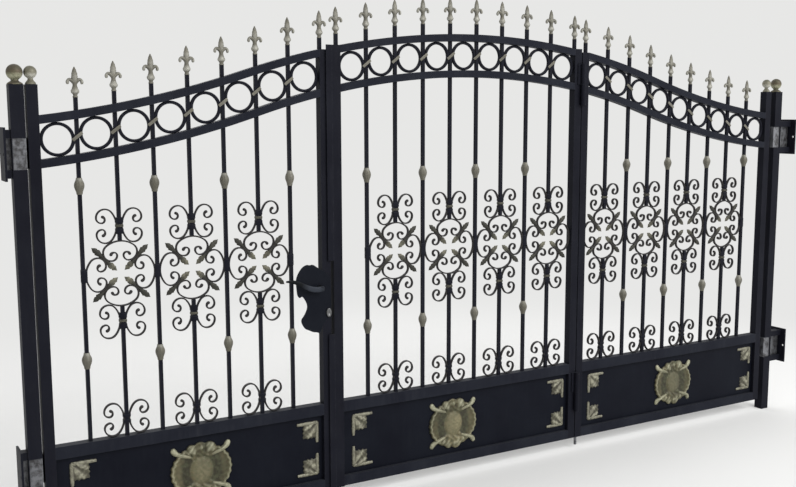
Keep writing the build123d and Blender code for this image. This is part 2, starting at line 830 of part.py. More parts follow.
def leaves():
    rail_top = ring_diameter / 2 + arched_rail_height
    lock_top = curve_z(left_x1 - stile_width, rail_top)
    middle_lock_top = curve_z(middle_x0 + stile_width, rail_top)
    middle_fold_top = curve_z(middle_x1 - stile_width, rail_top)
    right_fold_top = curve_z(right_x0 + stile_width, rail_top)
    add("left_hinge_stile", stile(left_x0, post_height))
    add("left_lock_stile", stile(left_x1 - stile_width, lock_top))
    add("middle_lock_stile", stile(middle_x0, middle_lock_top))
    meeting_strip(middle_lock_top)
    add("middle_fold_stile", stile(middle_x1 - stile_width, middle_fold_top))
    bolt_x, knob_z = drop_bolt()
    right_fold_stile(right_fold_top, bolt_x, knob_z)
    add("right_hinge_stile", stile(right_x1 - stile_width, post_height))
    half = stile_width / 2
    shift = stile_finial_inset
    unit = scroll_unit()
    for name, x0, x1, count, tops in (
        ("left", left_x0, left_x1, left_count, [(left_x1 - half - shift, lock_top)]),
        (
            "middle", middle_x0, middle_x1, middle_count,
            [(middle_x0 + half + shift, middle_lock_top), (middle_x1 - half - shift, middle_fold_top)],
        ),
        ("right", right_x0, right_x1, right_count, [(right_x0 + half + shift, right_fold_top)]),
    ):
        leaf_frame(name, x0, x1, count)
        panel_ornaments(name, x0, x1)
        finials = leaf_infill(name, x0, count, tops, unit)
        ball_sizes = (
            stile_ball_diameter, stile_ball_seat_diameter, stile_ball_seat_height,
            stile_ball_stem_diameter,
        )
        if name == "left":
            finials.append(ball_finial(left_x0 + half, post_height, *ball_sizes))
        if name == "right":
            finials.append(ball_finial(right_x1 - half, post_height, *ball_sizes))
        add(name + "_finials", *finials)


posts()
post_hinges(wall_brackets())
fold_hinges()
leaves()
lock()

os.makedirs("parts", exist_ok=True)
for node, shape in parts.items():
    export_step(shape, f"parts/{node}.step")
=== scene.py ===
"""Looks of a folding wrought iron driveway gate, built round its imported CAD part.

Sizes are written in millimetres, as on a drawing, and become metres when a mesh is made.
X runs along the gate, Y goes into the yard and Z is up.
"""

import logging
import math
from dataclasses import dataclass, field, replace
from enum import Enum

import bmesh
import bpy
import numpy as np
from bpy.types import ID, Material, Mesh, Node, NodeSocket, NodeTree, Object, World
from mathutils import Matrix, Vector

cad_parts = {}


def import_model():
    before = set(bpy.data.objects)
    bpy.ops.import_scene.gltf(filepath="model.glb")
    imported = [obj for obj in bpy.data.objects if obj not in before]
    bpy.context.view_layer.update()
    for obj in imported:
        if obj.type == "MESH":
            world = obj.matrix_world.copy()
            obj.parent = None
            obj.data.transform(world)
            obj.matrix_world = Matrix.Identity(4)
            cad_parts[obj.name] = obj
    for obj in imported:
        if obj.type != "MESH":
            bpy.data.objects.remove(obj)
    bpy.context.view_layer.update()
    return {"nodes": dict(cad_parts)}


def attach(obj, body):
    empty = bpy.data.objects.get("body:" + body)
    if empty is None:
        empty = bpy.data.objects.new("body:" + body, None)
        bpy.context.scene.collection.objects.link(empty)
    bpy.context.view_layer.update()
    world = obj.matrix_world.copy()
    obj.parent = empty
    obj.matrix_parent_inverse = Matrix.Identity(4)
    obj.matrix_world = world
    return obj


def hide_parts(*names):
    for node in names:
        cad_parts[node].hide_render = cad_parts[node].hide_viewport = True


LOG = logging.getLogger("gate")
MM = 0.001
MERGE_GAP = 1e-7
NEARLY_ZERO = 1e-9
COLUMN_WIDTH = 180

Array = np.ndarray
Triple = tuple[float, float, float]
Pair = tuple[float, float]


# Meshes


@dataclass
class Shell:
    """A mesh in millimetres.

    Args:
        points: corner points, one row each.
        quads: four-cornered faces, as rows of point numbers.
        tone: one value a point, from 0 in a hollow to 1 on a crest.
    """

    points: Array
    quads: Array
    tone: Array

    def moved(self, x: float = 0.0, y: float = 0.0, z: float = 0.0) -> "Shell":
        """Returns the shell carried along by (x, y, z)."""
        return replace(self, points=self.points + np.array([x, y, z]))

    def turned(self, degrees: float) -> "Shell":
        """Returns the shell turned anticlockwise as seen from the front, about the Y axis."""
        c, s = math.cos(math.radians(degrees)), math.sin(math.radians(degrees))
        return replace(self, points=self.points @ np.array([[c, 0, s], [0, 1, 0], [-s, 0, c]]))

    def laid(self, order: list[int], ways: Triple) -> "Shell":
        """Returns the shell with its axes in another order, each times its way."""
        return replace(self, points=self.points[:, order] * ways, quads=self.quads[:, ::-1])

    def flipped(self, axis: int) -> "Shell":
        """Returns the shell mirrored across an axis, in the plane through the origin."""
        return self.laid([0, 1, 2], np.where(np.arange(3) == axis, -1.0, 1.0))

    def toned(self, tone: Array) -> "Shell":
        """Returns the shell with another tone, held to 0 and 1."""
        return replace(self, tone=np.clip(tone, 0, 1))

    def mirrored(self, axis: int) -> "Shell":
        """Returns the shell with its mirror image across an axis."""
        return joined([self, self.flipped(axis)])

    def copied(self, places: Array) -> "Shell":
        """Repeats the shell.

        Args:
            places: one (x, y, z) row for each copy.
        Returns:
            One shell of all the copies.
        """
        count = len(places)
        points = (self.points[None] + places[:, None]).reshape(-1, 3)
        step = (np.arange(count) * len(self.points))[:, None, None]
        quads = (self.quads[None] + step).reshape(-1, 4)
        return Shell(points, quads, np.tile(self.tone, count))


def joined(shells: list[Shell]) -> Shell:
    """Returns one shell that holds all the given ones."""
    starts = np.cumsum([0] + [len(s.points) for s in shells[:-1]])
    return Shell(
        np.concatenate([s.points for s in shells]),
        np.concatenate([s.quads + start for s, start in zip(shells, starts)]),
        np.concatenate([s.tone for s in shells]),
    )


def spots(x: Array, z: Array | float = 0.0) -> Array:
    """Returns places in the gate's middle plane, as rows of (x, 0, z)."""
    return np.stack([x, 0 * x, 0 * x + z], axis=1)


def turns(count: int) -> Array:
    """Returns evenly spaced angles once round."""
    return np.arange(count) * 2 * np.pi / count


def ease(t: Array) -> Array:
    """Returns a smooth step from 0 to 1 as t goes from 0 to 1."""
    t = np.clip(t, 0, 1)
    return t * t * (3 - 2 * t)


def surface(
    x: Array, y: Array, z: Array, tone: Array | float = 0.5, round_rows: bool = False
) -> Shell:
    """Makes a shell from a grid of points whose columns close on themselves.

    The grid's neighbours (i, j), (i, j + 1), (i + 1, j + 1) and (i + 1, j) are one face.

    Args:
        x, y, z: coordinates on the grid, which broadcast to its shape.
        tone: tone on the grid.
        round_rows: whether the last row joins the first.
    Returns:
        The shell.
    """
    x, y, z, tone = np.broadcast_arrays(x, y, z, tone)
    rows, columns = x.shape
    i = np.arange(rows if round_rows else rows - 1)[:, None]
    j = np.arange(columns)[None, :]
    i_next, j_next = (i + 1) % rows, (j + 1) % columns
    corners = ((i, j), (i, j_next), (i_next, j_next), (i_next, j))
    quads = np.stack([row * columns + column for row, column in corners], axis=-1)
    points = np.stack([x, y, z], axis=-1).reshape(-1, 3).astype(float)
    return Shell(points, quads.reshape(-1, 4), tone.reshape(-1).astype(float))


def section(count: int, squareness: float) -> tuple[Array, Array]:
    """Works out a closed section of unit half widths.

    Its two coordinates are the cosine and the sine of an angle, each with its size raised
    to a power: 1 is an ellipse, near 0 a box with rounded corners, above 1 a ridged lens.

    Args:
        count: points round the section.
        squareness: the power.
    Returns:
        The two coordinates.
    """
    sides = (np.cos(turns(count)), np.sin(turns(count)))
    c, s = (np.where(np.abs(v) < NEARLY_ZERO, 0, v) for v in sides)
    return np.sign(c) * np.abs(c) ** squareness, np.sign(s) * np.abs(s) ** squareness


def ribbon(
    path: Array,
    width: Array | float,
    depth: Array | float,
    shape: tuple[Array, Array],
    cap: float = 0.0,
    closed: bool = False,
    tone: Array | float = 0.5,
) -> Shell:
    """Carries a section along a path in the XZ plane.

    Point (i, j) is the path's point i, plus its normal times width i times the section's
    first coordinate j, with Y at depth i times the second. The ends shrink as a quarter
    circle does over the cap's length, down to a point, so the shell is closed.

    Args:
        path: rows of (x, z).
        width, depth: half widths in and across the plane, along the path.
        shape: the section.
        cap: length of the rounding at each end.
        closed: whether the path is a loop.
        tone: tone along the path.
    Returns:
        The shell.
    """
    given = (np.broadcast_to(v, len(path)).astype(float) for v in (width, depth, tone))
    width, depth, tone = given
    if closed:
        along = np.roll(path, -1, axis=0) - np.roll(path, 1, axis=0)
    else:
        along = np.gradient(path, axis=0)
    along = along / np.linalg.norm(along, axis=1, keepdims=True)
    scale = np.ones(len(path))
    if not closed:
        turn = np.radians([90.0, 60.0, 30.0])
        reach, shrink = cap * np.sin(turn)[:, None], np.round(np.cos(turn), 9)
        before, after = path[0] - along[0] * reach, path[-1] + along[-1] * reach
        path = np.concatenate([before, path, after[::-1]])
        scale = np.concatenate([shrink, scale, shrink[::-1]])
        first, last = [0] * len(turn), [-1] * len(turn)
        along, width, depth, tone = (
            np.concatenate([v[first], v, v[last]]) for v in (along, width, depth, tone)
        )
    normal = np.stack([-along[:, 1], along[:, 0]], axis=1)
    across = (width * scale)[:, None] * shape[0][None, :]
    x = path[:, :1] + normal[:, :1] * across
    z = path[:, 1:] + normal[:, 1:] * across
    y = (depth * scale)[:, None] * shape[1][None, :]
    return surface(x, y, z, tone[:, None], round_rows=closed)


def lathe(z: Array, radius: Array, sides: int, flute: Array | float = 0.0) -> Shell:
    """Turns an outline about the Z axis.

    Point (i, j) stands at height i, at angle j, out at radius i times one plus the flute.
    The first and last radius are 0, so the shell is closed.

    Args:
        z, radius: the outline.
        sides: points round the axis.
        flute: swelling on the grid, for petals or flutes.
    Returns:
        The shell.
    """
    angle = turns(sides)
    out = radius[:, None] * (1 + flute) * np.ones(sides)
    tone = np.clip(0.5 + 3.0 * flute + 0.3 * np.gradient(radius)[:, None], 0, 1)
    return surface(out * np.cos(angle), out * np.sin(angle), z[:, None], tone)


def pillow(half_x: float, half_y: float, half_z: float, squareness: float) -> Shell:
    """Makes a block with rounded edges.

    Each coordinate is a half size times a product of cosines and sines of longitude and
    latitude, their sizes raised to a small power, which squares the ball up.

    Args:
        half_x, half_y, half_z: half its sizes.
        squareness: the power.
    Returns:
        The block.
    """
    c, s = section(16, squareness)
    lat = np.linspace(-np.pi / 2, np.pi / 2, 9)
    ring = np.abs(np.round(np.cos(lat), 9))[:, None] ** squareness
    rise = np.sign(lat) * np.abs(np.sin(lat)) ** squareness
    ring[[0, -1]] = 0.0
    return surface(half_x * ring * c, half_y * ring * s, half_z * rise[:, None])


def relief(radius: Array, angle: Array, share: Array, height: Array) -> Shell:
    """Makes a closed low relief over a star-shaped patch, raised towards -Y.

    Row i lies at its share of the outline's radius, at the height given there. Two more
    rows take the rim down behind the face and back to the middle.

    Args:
        radius, angle: the outline, round the whole patch.
        share: from 0 in the middle to 1 at the rim.
        height: height on the grid of shares and angles.
    Returns:
        The shell.
    """
    out = share[:, None] * radius[None, :]
    out = np.concatenate([out, out[-1:], 0 * out[:1]])
    rise = np.concatenate([height, np.full((2, len(angle)), -1.0)])
    # Tone follows height: toned finishes paint the low parts in shade and the raised parts in
    # highlight.
    low, high = height.min(), height.max()
    tone = np.clip((rise - low) / (high - low), 0, 1)
    return surface(out * np.cos(angle), -rise, out * np.sin(angle), tone)


def smooth_loop(corners: list[Pair], rounds: int) -> Array:
    """Rounds a closed outline by cutting each side at a quarter and at three quarters.

    Args:
        corners: its corners in order.
        rounds: how often the corners are cut.
    Returns:
        The outline's points.
    """
    loop = np.array(corners, float)
    for _ in range(rounds):
        ahead = np.roll(loop, -1, axis=0)
        cuts = [0.75 * loop + 0.25 * ahead, 0.25 * loop + 0.75 * ahead]
        loop = np.stack(cuts, axis=1).reshape(-1, 2)
    return loop


def bow(points: list[Pair], count: int) -> Array:
    """Works out a cubic Bezier curve.

    Args:
        points: its ends, with the two control points between them.
        count: how many points it gets.
    Returns:
        The curve's points.
    """
    t = np.linspace(0, 1, count)[:, None]
    a, b, c, d = (np.array(p, float) for p in points)
    return (1 - t) ** 3 * a + 3 * t * (1 - t) ** 2 * b + 3 * t**2 * (1 - t) * c + t**3 * d


def mesh_of(name: str, points: Array, faces: list[list[int]], tone: Array | None = None) -> Mesh:
    """Makes a mesh whose faces point outwards.

    Args:
        name: its name.
        points: rows of (x, y, z) in millimetres.
        faces: rows of point numbers.
        tone: one value a point, where the finish reads it.
    Returns:
        The mesh, in metres.
    """
    mesh = bpy.data.meshes.new(name)
    mesh.from_pydata((points * MM).tolist(), [], faces)
    if tone is not None:
        layer = mesh.attributes.new("tone", "FLOAT", "POINT")
        layer.data.foreach_set("value", tone.astype(np.float32))
    work = bmesh.new()
    work.from_mesh(mesh)
    bmesh.ops.remove_doubles(work, verts=work.verts, dist=MERGE_GAP)
    bmesh.ops.recalc_face_normals(work, faces=work.faces)
    work.to_mesh(mesh)
    work.free()
    return mesh


def smooth_mesh(name: str, shell: Shell) -> Mesh:
    """Returns a shell's mesh, shaded smooth."""
    mesh = mesh_of(name, shell.points, shell.quads.tolist(), shell.tone)
    mesh.polygons.foreach_set("use_smooth", np.ones(len(mesh.polygons), bool))
    return mesh


def linked(name: str, data: ID) -> Object:
    """Returns a new object of the data, put in the scene."""
    thing = bpy.data.objects.new(name, data)
    bpy.context.scene.collection.objects.link(thing)
    return thing


# The gate's layout


class Slot(Enum):
    """The record's material slots named for new pieces; nothing reads them."""

    PAINT = "black_paint"
    GOLD = "gold_castings"
    LOCK = "lock_metal"


class Leaf(Enum):
    """The three leaves, each with its outer sides along the gate and how many pickets it has."""

    LEFT = (33.0, 1219.0, 7)
    MIDDLE = (1230.0, 2556.0, 8)
    RIGHT = (2561.0, 3887.0, 8)

    @property
    def word(self) -> str:
        """The leaf's name as its nodes begin."""
        return self.name.lower()

    @property
    def body(self) -> str:
        """The CAD body that the leaf is."""
        return self.word + "_leaf"

    @property
    def start(self) -> float:
        """The outer side of its first stile."""
        return self.value[0]

    @property
    def end(self) -> float:
        """The outer side of its last stile."""
        return self.value[1]


@dataclass(frozen=True)
class Layout:
    """Where the gate's pieces stand, in the CAD part's sizes."""

    pitch: float = 140.0
    stile_width: float = 40.0
    ring_diameter: float = 126.0
    bar: float = 14.0
    crown_radius: float = 3400.0
    end_radius: float = 4130.0
    crest: Pair = (1945.0, 1924.5)
    crown_half_span: float = 1060.0
    rail_height: float = 31.0
    stub_height: float = 46.0
    stile_stub_inset: float = 32.0
    post_height: float = 1780.0
    post_xs: Pair = (0.0, 3943.0)
    quatrefoil_z: float = 1076.0
    lock_edge_x: float = 1219.0
    lock_z: float = 905.0

    def pickets(self, leaf: Leaf) -> Array:
        """Returns the places of a leaf's pickets along the gate."""
        first = leaf.start + self.stile_width + self.ring_diameter + self.bar / 2
        return first + self.pitch * np.arange(leaf.value[2])

    def scroll_pickets(self, leaf: Leaf) -> Array:
        """Returns the places of the pickets that carry scrolls."""
        return self.pickets(leaf)[(0 if leaf is Leaf.RIGHT else 1)::2]

    def plain_pickets(self, leaf: Leaf) -> Array:
        """Returns the places of the pickets that carry knuckles."""
        return self.pickets(leaf)[(1 if leaf is Leaf.RIGHT else 0)::2]

    def rings(self, leaf: Leaf) -> Array:
        """Returns the places of the ring centres along the gate."""
        first = leaf.start + self.stile_width + self.ring_diameter / 2
        return first + self.pitch * np.arange(leaf.value[2] + 1)

    def curve_z(self, x: Array, offset: float = 0.0) -> Array:
        """Works out the height of the curve through the ring centres.

        A crown arc has an end arc tangent to it on each side, so each height is a circle
        centre plus or minus the root of radius squared less distance squared.

        Args:
            x: places along the gate.
            offset: how far the curve is moved outwards.
        Returns:
            The heights.
        """
        crest_x, crest_z = self.crest
        away = np.abs(x - crest_x)
        base = crest_z - self.crown_radius
        crown = base + np.sqrt((self.crown_radius + offset) ** 2 - away**2)
        stretch = (self.crown_radius + self.end_radius) / self.crown_radius
        rise = math.sqrt(self.crown_radius**2 - self.crown_half_span**2)
        centre_x, centre_z = self.crown_half_span * stretch, base + rise * stretch
        ends = centre_z - np.sqrt((self.end_radius - offset) ** 2 - (away - centre_x) ** 2)
        limit = self.crown_half_span * (self.crown_radius + offset) / self.crown_radius
        return np.where(away <= limit, crown, ends)

    def finials(self, leaf: Leaf) -> Array:
        """Finds the feet of a leaf's spear finials: on each picket, and on the inner stiles.

        Args:
            leaf: the leaf.
        Returns:
            Rows of (x, 0, z).
        """
        off = self.ring_diameter / 2 + self.rail_height
        xs = self.pickets(leaf)
        zs = self.curve_z(xs, off)
        stiles = {Leaf.LEFT: [1], Leaf.MIDDLE: [-1, 1], Leaf.RIGHT: [-1]}[leaf]
        for side in stiles:
            edge = leaf.start if side < 0 else leaf.end
            xs = np.append(xs, edge - side * self.stile_stub_inset)
            zs = np.append(zs, self.curve_z(np.array(edge - side * self.stile_width), off))
        return spots(xs, zs + self.stub_height)


# Finishes


@dataclass
class Bench:
    """Sets nodes out in a tree, each in the next column, and joins them up."""

    tree: NodeTree
    column: int = 0

    def node(self, kind: str, inputs: dict | None = None, **settings: object) -> Node:
        """Adds a node.

        Args:
            kind: the node's type name, without its prefix.
            inputs: what goes in each socket: a value, or another node's output.
            settings: the node's own properties.
        Returns:
            The node.
        """
        prefix = "" if kind.startswith("NodeGroup") else "ShaderNode"
        node = self.tree.nodes.new(prefix + kind)
        node.location = (self.column, 0)
        self.column += COLUMN_WIDTH
        for key, value in settings.items():
            setattr(node, key, value)
        for key, value in (inputs or {}).items():
            if isinstance(value, NodeSocket):
                self.tree.links.new(value, node.inputs[key])
            else:
                node.inputs[key].default_value = value
        return node

    def place(self) -> NodeSocket:
        """Returns the place on the object, in metres."""
        return self.node("TexCoord").outputs["Object"]

    def maths(self, operation: str, a: object, b: object, clamp: bool = False) -> NodeSocket:
        """Returns the output of a Math node on two values."""
        node = self.node("Math", {0: a, 1: b}, operation=operation, use_clamp=clamp)
        return node.outputs[0]

    def times(self, a: object, b: object, clamp: bool = False) -> NodeSocket:
        """Returns a times b."""
        return self.maths("MULTIPLY", a, b, clamp)

    def between(self, value: object, low: float, high: float) -> NodeSocket:
        """Returns how far a value has gone from low to high, held to 0 and 1."""
        inputs = {"Value": value, "From Min": low, "From Max": high}
        return self.node("MapRange", inputs, clamp=True).outputs[0]

    def mix(self, share: object, a: NodeSocket | Triple, b: NodeSocket | Triple) -> NodeSocket:
        """Returns colour a with a share of colour b mixed in."""
        a, b = (v if isinstance(v, NodeSocket) else (*v, 1.0) for v in (a, b))
        return self.node("Mix", {0: share, 6: a, 7: b}, data_type="RGBA").outputs[2]

    def noise(
        self, place: NodeSocket, scale: object, detail: float = 3.0, rough: float = 0.55
    ) -> NodeSocket:
        """Returns a noise value at a place."""
        inputs = {"Vector": place, "Scale": scale, "Detail": detail, "Roughness": rough}
        return self.node("TexNoise", inputs).outputs["Fac"]

    def shaders(self, share: NodeSocket, a: Node, b: Node, output: str) -> None:
        """Ends the tree in shader a, with a share of shader b mixed in."""
        both = self.node("MixShader", {0: share, 1: a.outputs[0], 2: b.outputs[0]})
        self.node(output, {"Surface": both.outputs[0]})


def cleared(owner: Material | World) -> Bench:
    """Returns a bench on the emptied node tree of a material or world."""
    owner.use_nodes = True
    owner.node_tree.nodes.clear()
    return Bench(owner.node_tree)


def shader_group(
    name: str, inputs: dict[str, float], outputs: tuple[str, ...] = ("Mask",)
) -> tuple[Bench, dict[str, NodeSocket]]:
    """Starts a shader node group.

    Args:
        name: the group's name.
        inputs: names and default values of its inputs.
        outputs: names of its value outputs.
    Returns:
        A bench on the group, and its input sockets by name.
    """
    tree = bpy.data.node_groups.new(name, "ShaderNodeTree")
    for key, value in inputs.items():
        socket = tree.interface.new_socket(key, in_out="INPUT", socket_type="NodeSocketFloat")
        socket.default_value = value
    for key in outputs:
        tree.interface.new_socket(key, in_out="OUTPUT", socket_type="NodeSocketFloat")
    bench = Bench(tree)
    source = bench.node("NodeGroupInput")
    return bench, {key: source.outputs[key] for key in inputs}


def worn_edges_group() -> NodeTree:
    """Builds the edge wear group.

    The true normal is compared with one rounded over the given width: where they part, an
    edge is near. Noise breaks the line up.

    Returns:
        The group.
    """
    bench, given = shader_group("worn_edges", {"Width": 0.002, "Amount": 0.5, "Scale": 60.0})
    place = bench.place()
    rounded = bench.node("Bevel", {"Radius": given["Width"]}, samples=4).outputs[0]
    true = bench.node("NewGeometry").outputs["True Normal"]
    dot = bench.node("VectorMath", {0: rounded, 1: true}, operation="DOT_PRODUCT")
    edge = bench.between(dot.outputs["Value"], 0.995, 0.86)
    patches = bench.between(bench.noise(place, given["Scale"], 4.0), 0.35, 0.68)
    worn = bench.times(edge, bench.times(patches, given["Amount"]), clamp=True)
    bench.node("NodeGroupOutput", {"Mask": worn})
    return bench.tree


def dust_group() -> NodeTree:
    """Builds the dust group: thick on what faces up, thin and streaked down upright faces.

    Returns:
        The group.
    """
    bench, given = shader_group("settled_dust", {"Amount": 0.5, "Scale": 9.0})
    place = bench.place()
    normal = bench.node("NewGeometry").outputs["Normal"]
    up = bench.node("SeparateXYZ", {"Vector": normal}).outputs["Z"]
    level = bench.between(up, 0.2, 0.95)
    drawn_out = bench.node("Mapping", {"Vector": place, "Scale": (1.0, 1.0, 0.12)})
    streaks = bench.noise(drawn_out.outputs[0], bench.times(given["Scale"], 6.0), 4.0)
    clouds = bench.noise(place, given["Scale"], 3.0)
    thin = bench.times(bench.between(streaks, 0.42, 0.75), bench.between(clouds, 0.38, 0.7))
    total = bench.maths("ADD", bench.times(thin, 0.45), bench.times(level, 0.8))
    bench.node("NodeGroupOutput", {"Mask": bench.times(total, given["Amount"], clamp=True)})
    return bench.tree


def painted_shade_group() -> NodeTree:
    """Builds the painted shade group, which darkens hollows by how much nearby space is blocked.

    Returns:
        The group.
    """
    bench, given = shader_group("painted_shade_in_hollows", {"Reach": 0.012, "Amount": 1.0})
    nearby = bench.node("AmbientOcclusion", {"Distance": given["Reach"]}, samples=6)
    closed = bench.between(nearby.outputs["AO"], 0.9, 0.35)
    bench.node("NodeGroupOutput", {"Mask": bench.times(closed, given["Amount"], clamp=True)})
    return bench.tree


def grain_group() -> NodeTree:
    """Builds the grain group: a fine height, a broad drift of shade and small blotches.

    Returns:
        The group.
    """
    bench, given = shader_group("metal_grain", {"Scale": 400.0}, ("Height", "Drift", "Mottle"))
    place, scale = bench.place(), given["Scale"]
    fine = bench.noise(place, scale, 3.0)
    pits = bench.noise(place, bench.times(scale, 0.22), 2.0)
    height = bench.maths("ADD", fine, bench.times(pits, 1.6))
    drift = bench.between(bench.noise(place, bench.times(scale, 0.012), 4.0), 0.3, 0.7)
    mottle = bench.between(bench.noise(place, bench.times(scale, 0.17), 4.0, 0.62), 0.44, 0.62)
    bench.node("NodeGroupOutput", {"Height": height, "Drift": drift, "Mottle": mottle})
    return bench.tree


@dataclass(frozen=True)
class Finish:
    """A painted, gilded or bare metal finish.

    Args:
        name: the material's name.
        colour: its main colour, linear.
        shade: its colour in broad drifting patches, and the painted shade of hollows and low tone.
        crest: the colour on worn edges, and the painted highlight where the tone is high.
        dust, dusty: the dust's colour, and how thick it is.
        metallic, roughness, specular: the surface's plain values.
        grain, bump, bump_height: scale, strength and height of the fine grain.
        wear, wear_width: how strong edge wear is, and how wide in metres.
        hollow, hollow_shade: how strong the painted shade in hollows is, and its share of shade.
        drift_rough, dust_rough: what the broad patches and the dust add to the roughness.
        blotch, mottled: the colour of small blotches, and how strong they are.
        toned: whether the mesh's own tone paints shade and highlight with those colours.
    """

    name: str
    colour: Triple
    shade: Triple
    crest: Triple
    dust: Triple = (0.11, 0.11, 0.105)
    metallic: float = 0.0
    roughness: float = 0.45
    specular: float = 0.3
    grain: float = 420.0
    bump: float = 0.12
    bump_height: float = 0.0006
    wear: float = 0.5
    wear_width: float = 0.0025
    dusty: float = 0.35
    hollow: float = 0.5
    hollow_shade: float = 0.45
    drift_rough: float = 0.12
    dust_rough: float = 0.3
    blotch: Triple = (0.02, 0.02, 0.024)
    mottled: float = 0.0
    toned: bool = False

    def material(self, effects: dict[str, NodeTree]) -> Material:
        """Builds the material from the shared effects.

        Args:
            effects: the node groups by name.
        Returns:
            The material.
        """
        made = bpy.data.materials.new(self.name)
        bench = cleared(made)
        made.diffuse_color = (*self.colour, 1.0)
        grain, worn, dust, hollow = (
            bench.node("Group", values, node_tree=effects[name]).outputs
            for name, values in (
                ("metal_grain", {"Scale": self.grain}),
                ("worn_edges", {"Amount": self.wear, "Width": self.wear_width}),
                ("settled_dust", {"Amount": self.dusty}),
                ("painted_shade_in_hollows", {"Amount": self.hollow}),
            )
        )
        base = bench.mix(grain["Drift"], self.colour, self.shade)
        # Tone paints shade where low and highlight where high; on the double leaves it sets their
        # gilding.
        if self.toned:
            tone = bench.node("Attribute", attribute_name="tone").outputs["Fac"]
            base = bench.mix(bench.between(tone, 0.5, 0.0), base, self.shade)
            base = bench.mix(bench.between(tone, 0.5, 1.0), base, self.crest)
        if self.mottled:
            base = bench.mix(bench.times(grain["Mottle"], self.mottled), base, self.blotch)
        # Painted shade: hollows take a darker share of the shade colour.
        base = bench.mix(hollow["Mask"], base, tuple(c * self.hollow_shade for c in self.shade))
        base = bench.mix(worn["Mask"], base, self.crest)
        base = bench.mix(dust["Mask"], base, self.dust)
        values = {0: grain["Drift"], 1: self.drift_rough, 2: self.roughness}
        rough = bench.node("Math", values, operation="MULTIPLY_ADD").outputs[0]
        powder = bench.times(dust["Mask"], self.dust_rough)
        rough = bench.maths("ADD", rough, powder, clamp=True)
        bump = bench.node("Bump", {
            "Height": grain["Height"], "Strength": self.bump, "Distance": self.bump_height,
        })
        shader = bench.node("BsdfPrincipled", {
            "Base Color": base, "Roughness": rough, "Metallic": self.metallic,
            "Specular IOR Level": self.specular, "Normal": bump.outputs[0],
        })
        bench.node("OutputMaterial", {"Surface": shader.outputs[0]})
        return made


BLACK_PAINT = Finish(
    "black_paint", (0.0072, 0.0075, 0.0118), (0.0105, 0.0112, 0.0165), (0.06, 0.063, 0.074),
    dust=(0.075, 0.077, 0.085), specular=0.05, roughness=0.4, dusty=0.16, wear=0.45,
)
# Painted shade: the same black paint made darker for the kick panel, with less dust and wear.
SHADED_PANEL_PAINT = replace(
    BLACK_PAINT, name="shaded_panel_paint", colour=(0.005, 0.0057, 0.0098),
    shade=(0.0076, 0.009, 0.014), dusty=0.06, wear=0.2,
)
# Painted light: the same black paint made lighter, with more dust lightening its tops, where the
# rails catch light.
LIT_RAIL_PAINT = replace(
    BLACK_PAINT, name="lit_rail_paint", colour=(0.0095, 0.0105, 0.0165),
    shade=(0.0155, 0.0175, 0.0245), dusty=0.24,
)
FORGED_PAINT = replace(
    BLACK_PAINT, name="forged_paint", colour=(0.018, 0.0165, 0.0172),
    shade=(0.034, 0.031, 0.029), bump=0.3, wear=0.4, wear_width=0.0012, specular=0.12,
)
RING_PAINT = replace(BLACK_PAINT, name="ring_paint", bump=0.25, wear=0.3, wear_width=0.0012)
ANTIQUE_GOLD = Finish(
    "antique_gold", (0.205, 0.175, 0.092), (0.032, 0.029, 0.016), (0.35, 0.342, 0.24),
    dust=(0.19, 0.185, 0.155), metallic=0.3, roughness=0.42, specular=0.4, bump=0.35,
    wear_width=0.0015, dusty=0.2, hollow=0.85, blotch=(0.082, 0.09, 0.046), mottled=0.5,
    toned=True,
)
CORNER_GOLD = replace(
    ANTIQUE_GOLD, name="corner_gold", colour=(0.145, 0.138, 0.095), shade=(0.034, 0.033, 0.02),
    crest=(0.305, 0.295, 0.22), blotch=(0.07, 0.062, 0.05), mottled=0.6,
)
BALL_GOLD = replace(
    ANTIQUE_GOLD, name="ball_gold", colour=(0.135, 0.106, 0.068), shade=(0.07, 0.056, 0.038),
    metallic=0.4, roughness=0.5, bump=0.2,
)
PALE_GOLD = replace(
    ANTIQUE_GOLD, name="pale_gold", colour=(0.27, 0.25, 0.19), shade=(0.15, 0.14, 0.105),
    crest=(0.45, 0.44, 0.38), metallic=0.35, mottled=0.35,
)
GREY_GILT = replace(
    ANTIQUE_GOLD, name="grey_gilt", colour=(0.182, 0.174, 0.146), shade=(0.085, 0.08, 0.062),
    crest=(0.34, 0.334, 0.295), blotch=(0.12, 0.11, 0.08), roughness=0.5,
)
LEAF_GILDING = Finish(
    "leaf_gilding", (0.066, 0.063, 0.047), (0.018, 0.018, 0.015), (0.185, 0.176, 0.128),
    dust=(0.13, 0.125, 0.1), metallic=0.2, roughness=0.48, bump=0.35, wear=0.35,
    wear_width=0.0012, dusty=0.2, hollow=0.6, blotch=(0.024, 0.024, 0.02), mottled=0.7,
    toned=True,
)
HINGE_STEEL = Finish(
    "hinge_steel", (0.21, 0.215, 0.23), (0.11, 0.112, 0.122), (0.42, 0.43, 0.45),
    dust=(0.3, 0.3, 0.3), metallic=0.6, roughness=0.4, specular=0.5, grain=230.0, bump=0.5,
    wear=0.9, wear_width=0.003, dusty=0.3, hollow=0.6, blotch=(0.022, 0.02, 0.02),
    mottled=0.85,
)
LOCK_IRON = replace(
    FORGED_PAINT, name="lock_iron", colour=(0.0048, 0.0058, 0.0095),
    shade=(0.0085, 0.01, 0.0145), crest=(0.07, 0.072, 0.08), roughness=0.34, specular=0.05,
    wear=0.6, wear_width=0.002, dusty=0.08,
)
# Painted light: the lever's crest colour is a painted highlight and its shade colour a painted
# shade, laid along it by its tone.
LEVER_IRON = replace(
    LOCK_IRON, name="lever_iron", colour=(0.009, 0.011, 0.015), shade=(0.004, 0.005, 0.006),
    crest=(0.034, 0.039, 0.05), roughness=0.38, metallic=0.1, specular=0.1, toned=True,
)
KEY_STEEL = replace(
    HINGE_STEEL, name="key_steel", colour=(0.13, 0.135, 0.135), shade=(0.08, 0.08, 0.082),
    crest=(0.26, 0.26, 0.265), roughness=0.25, mottled=0.15,
)


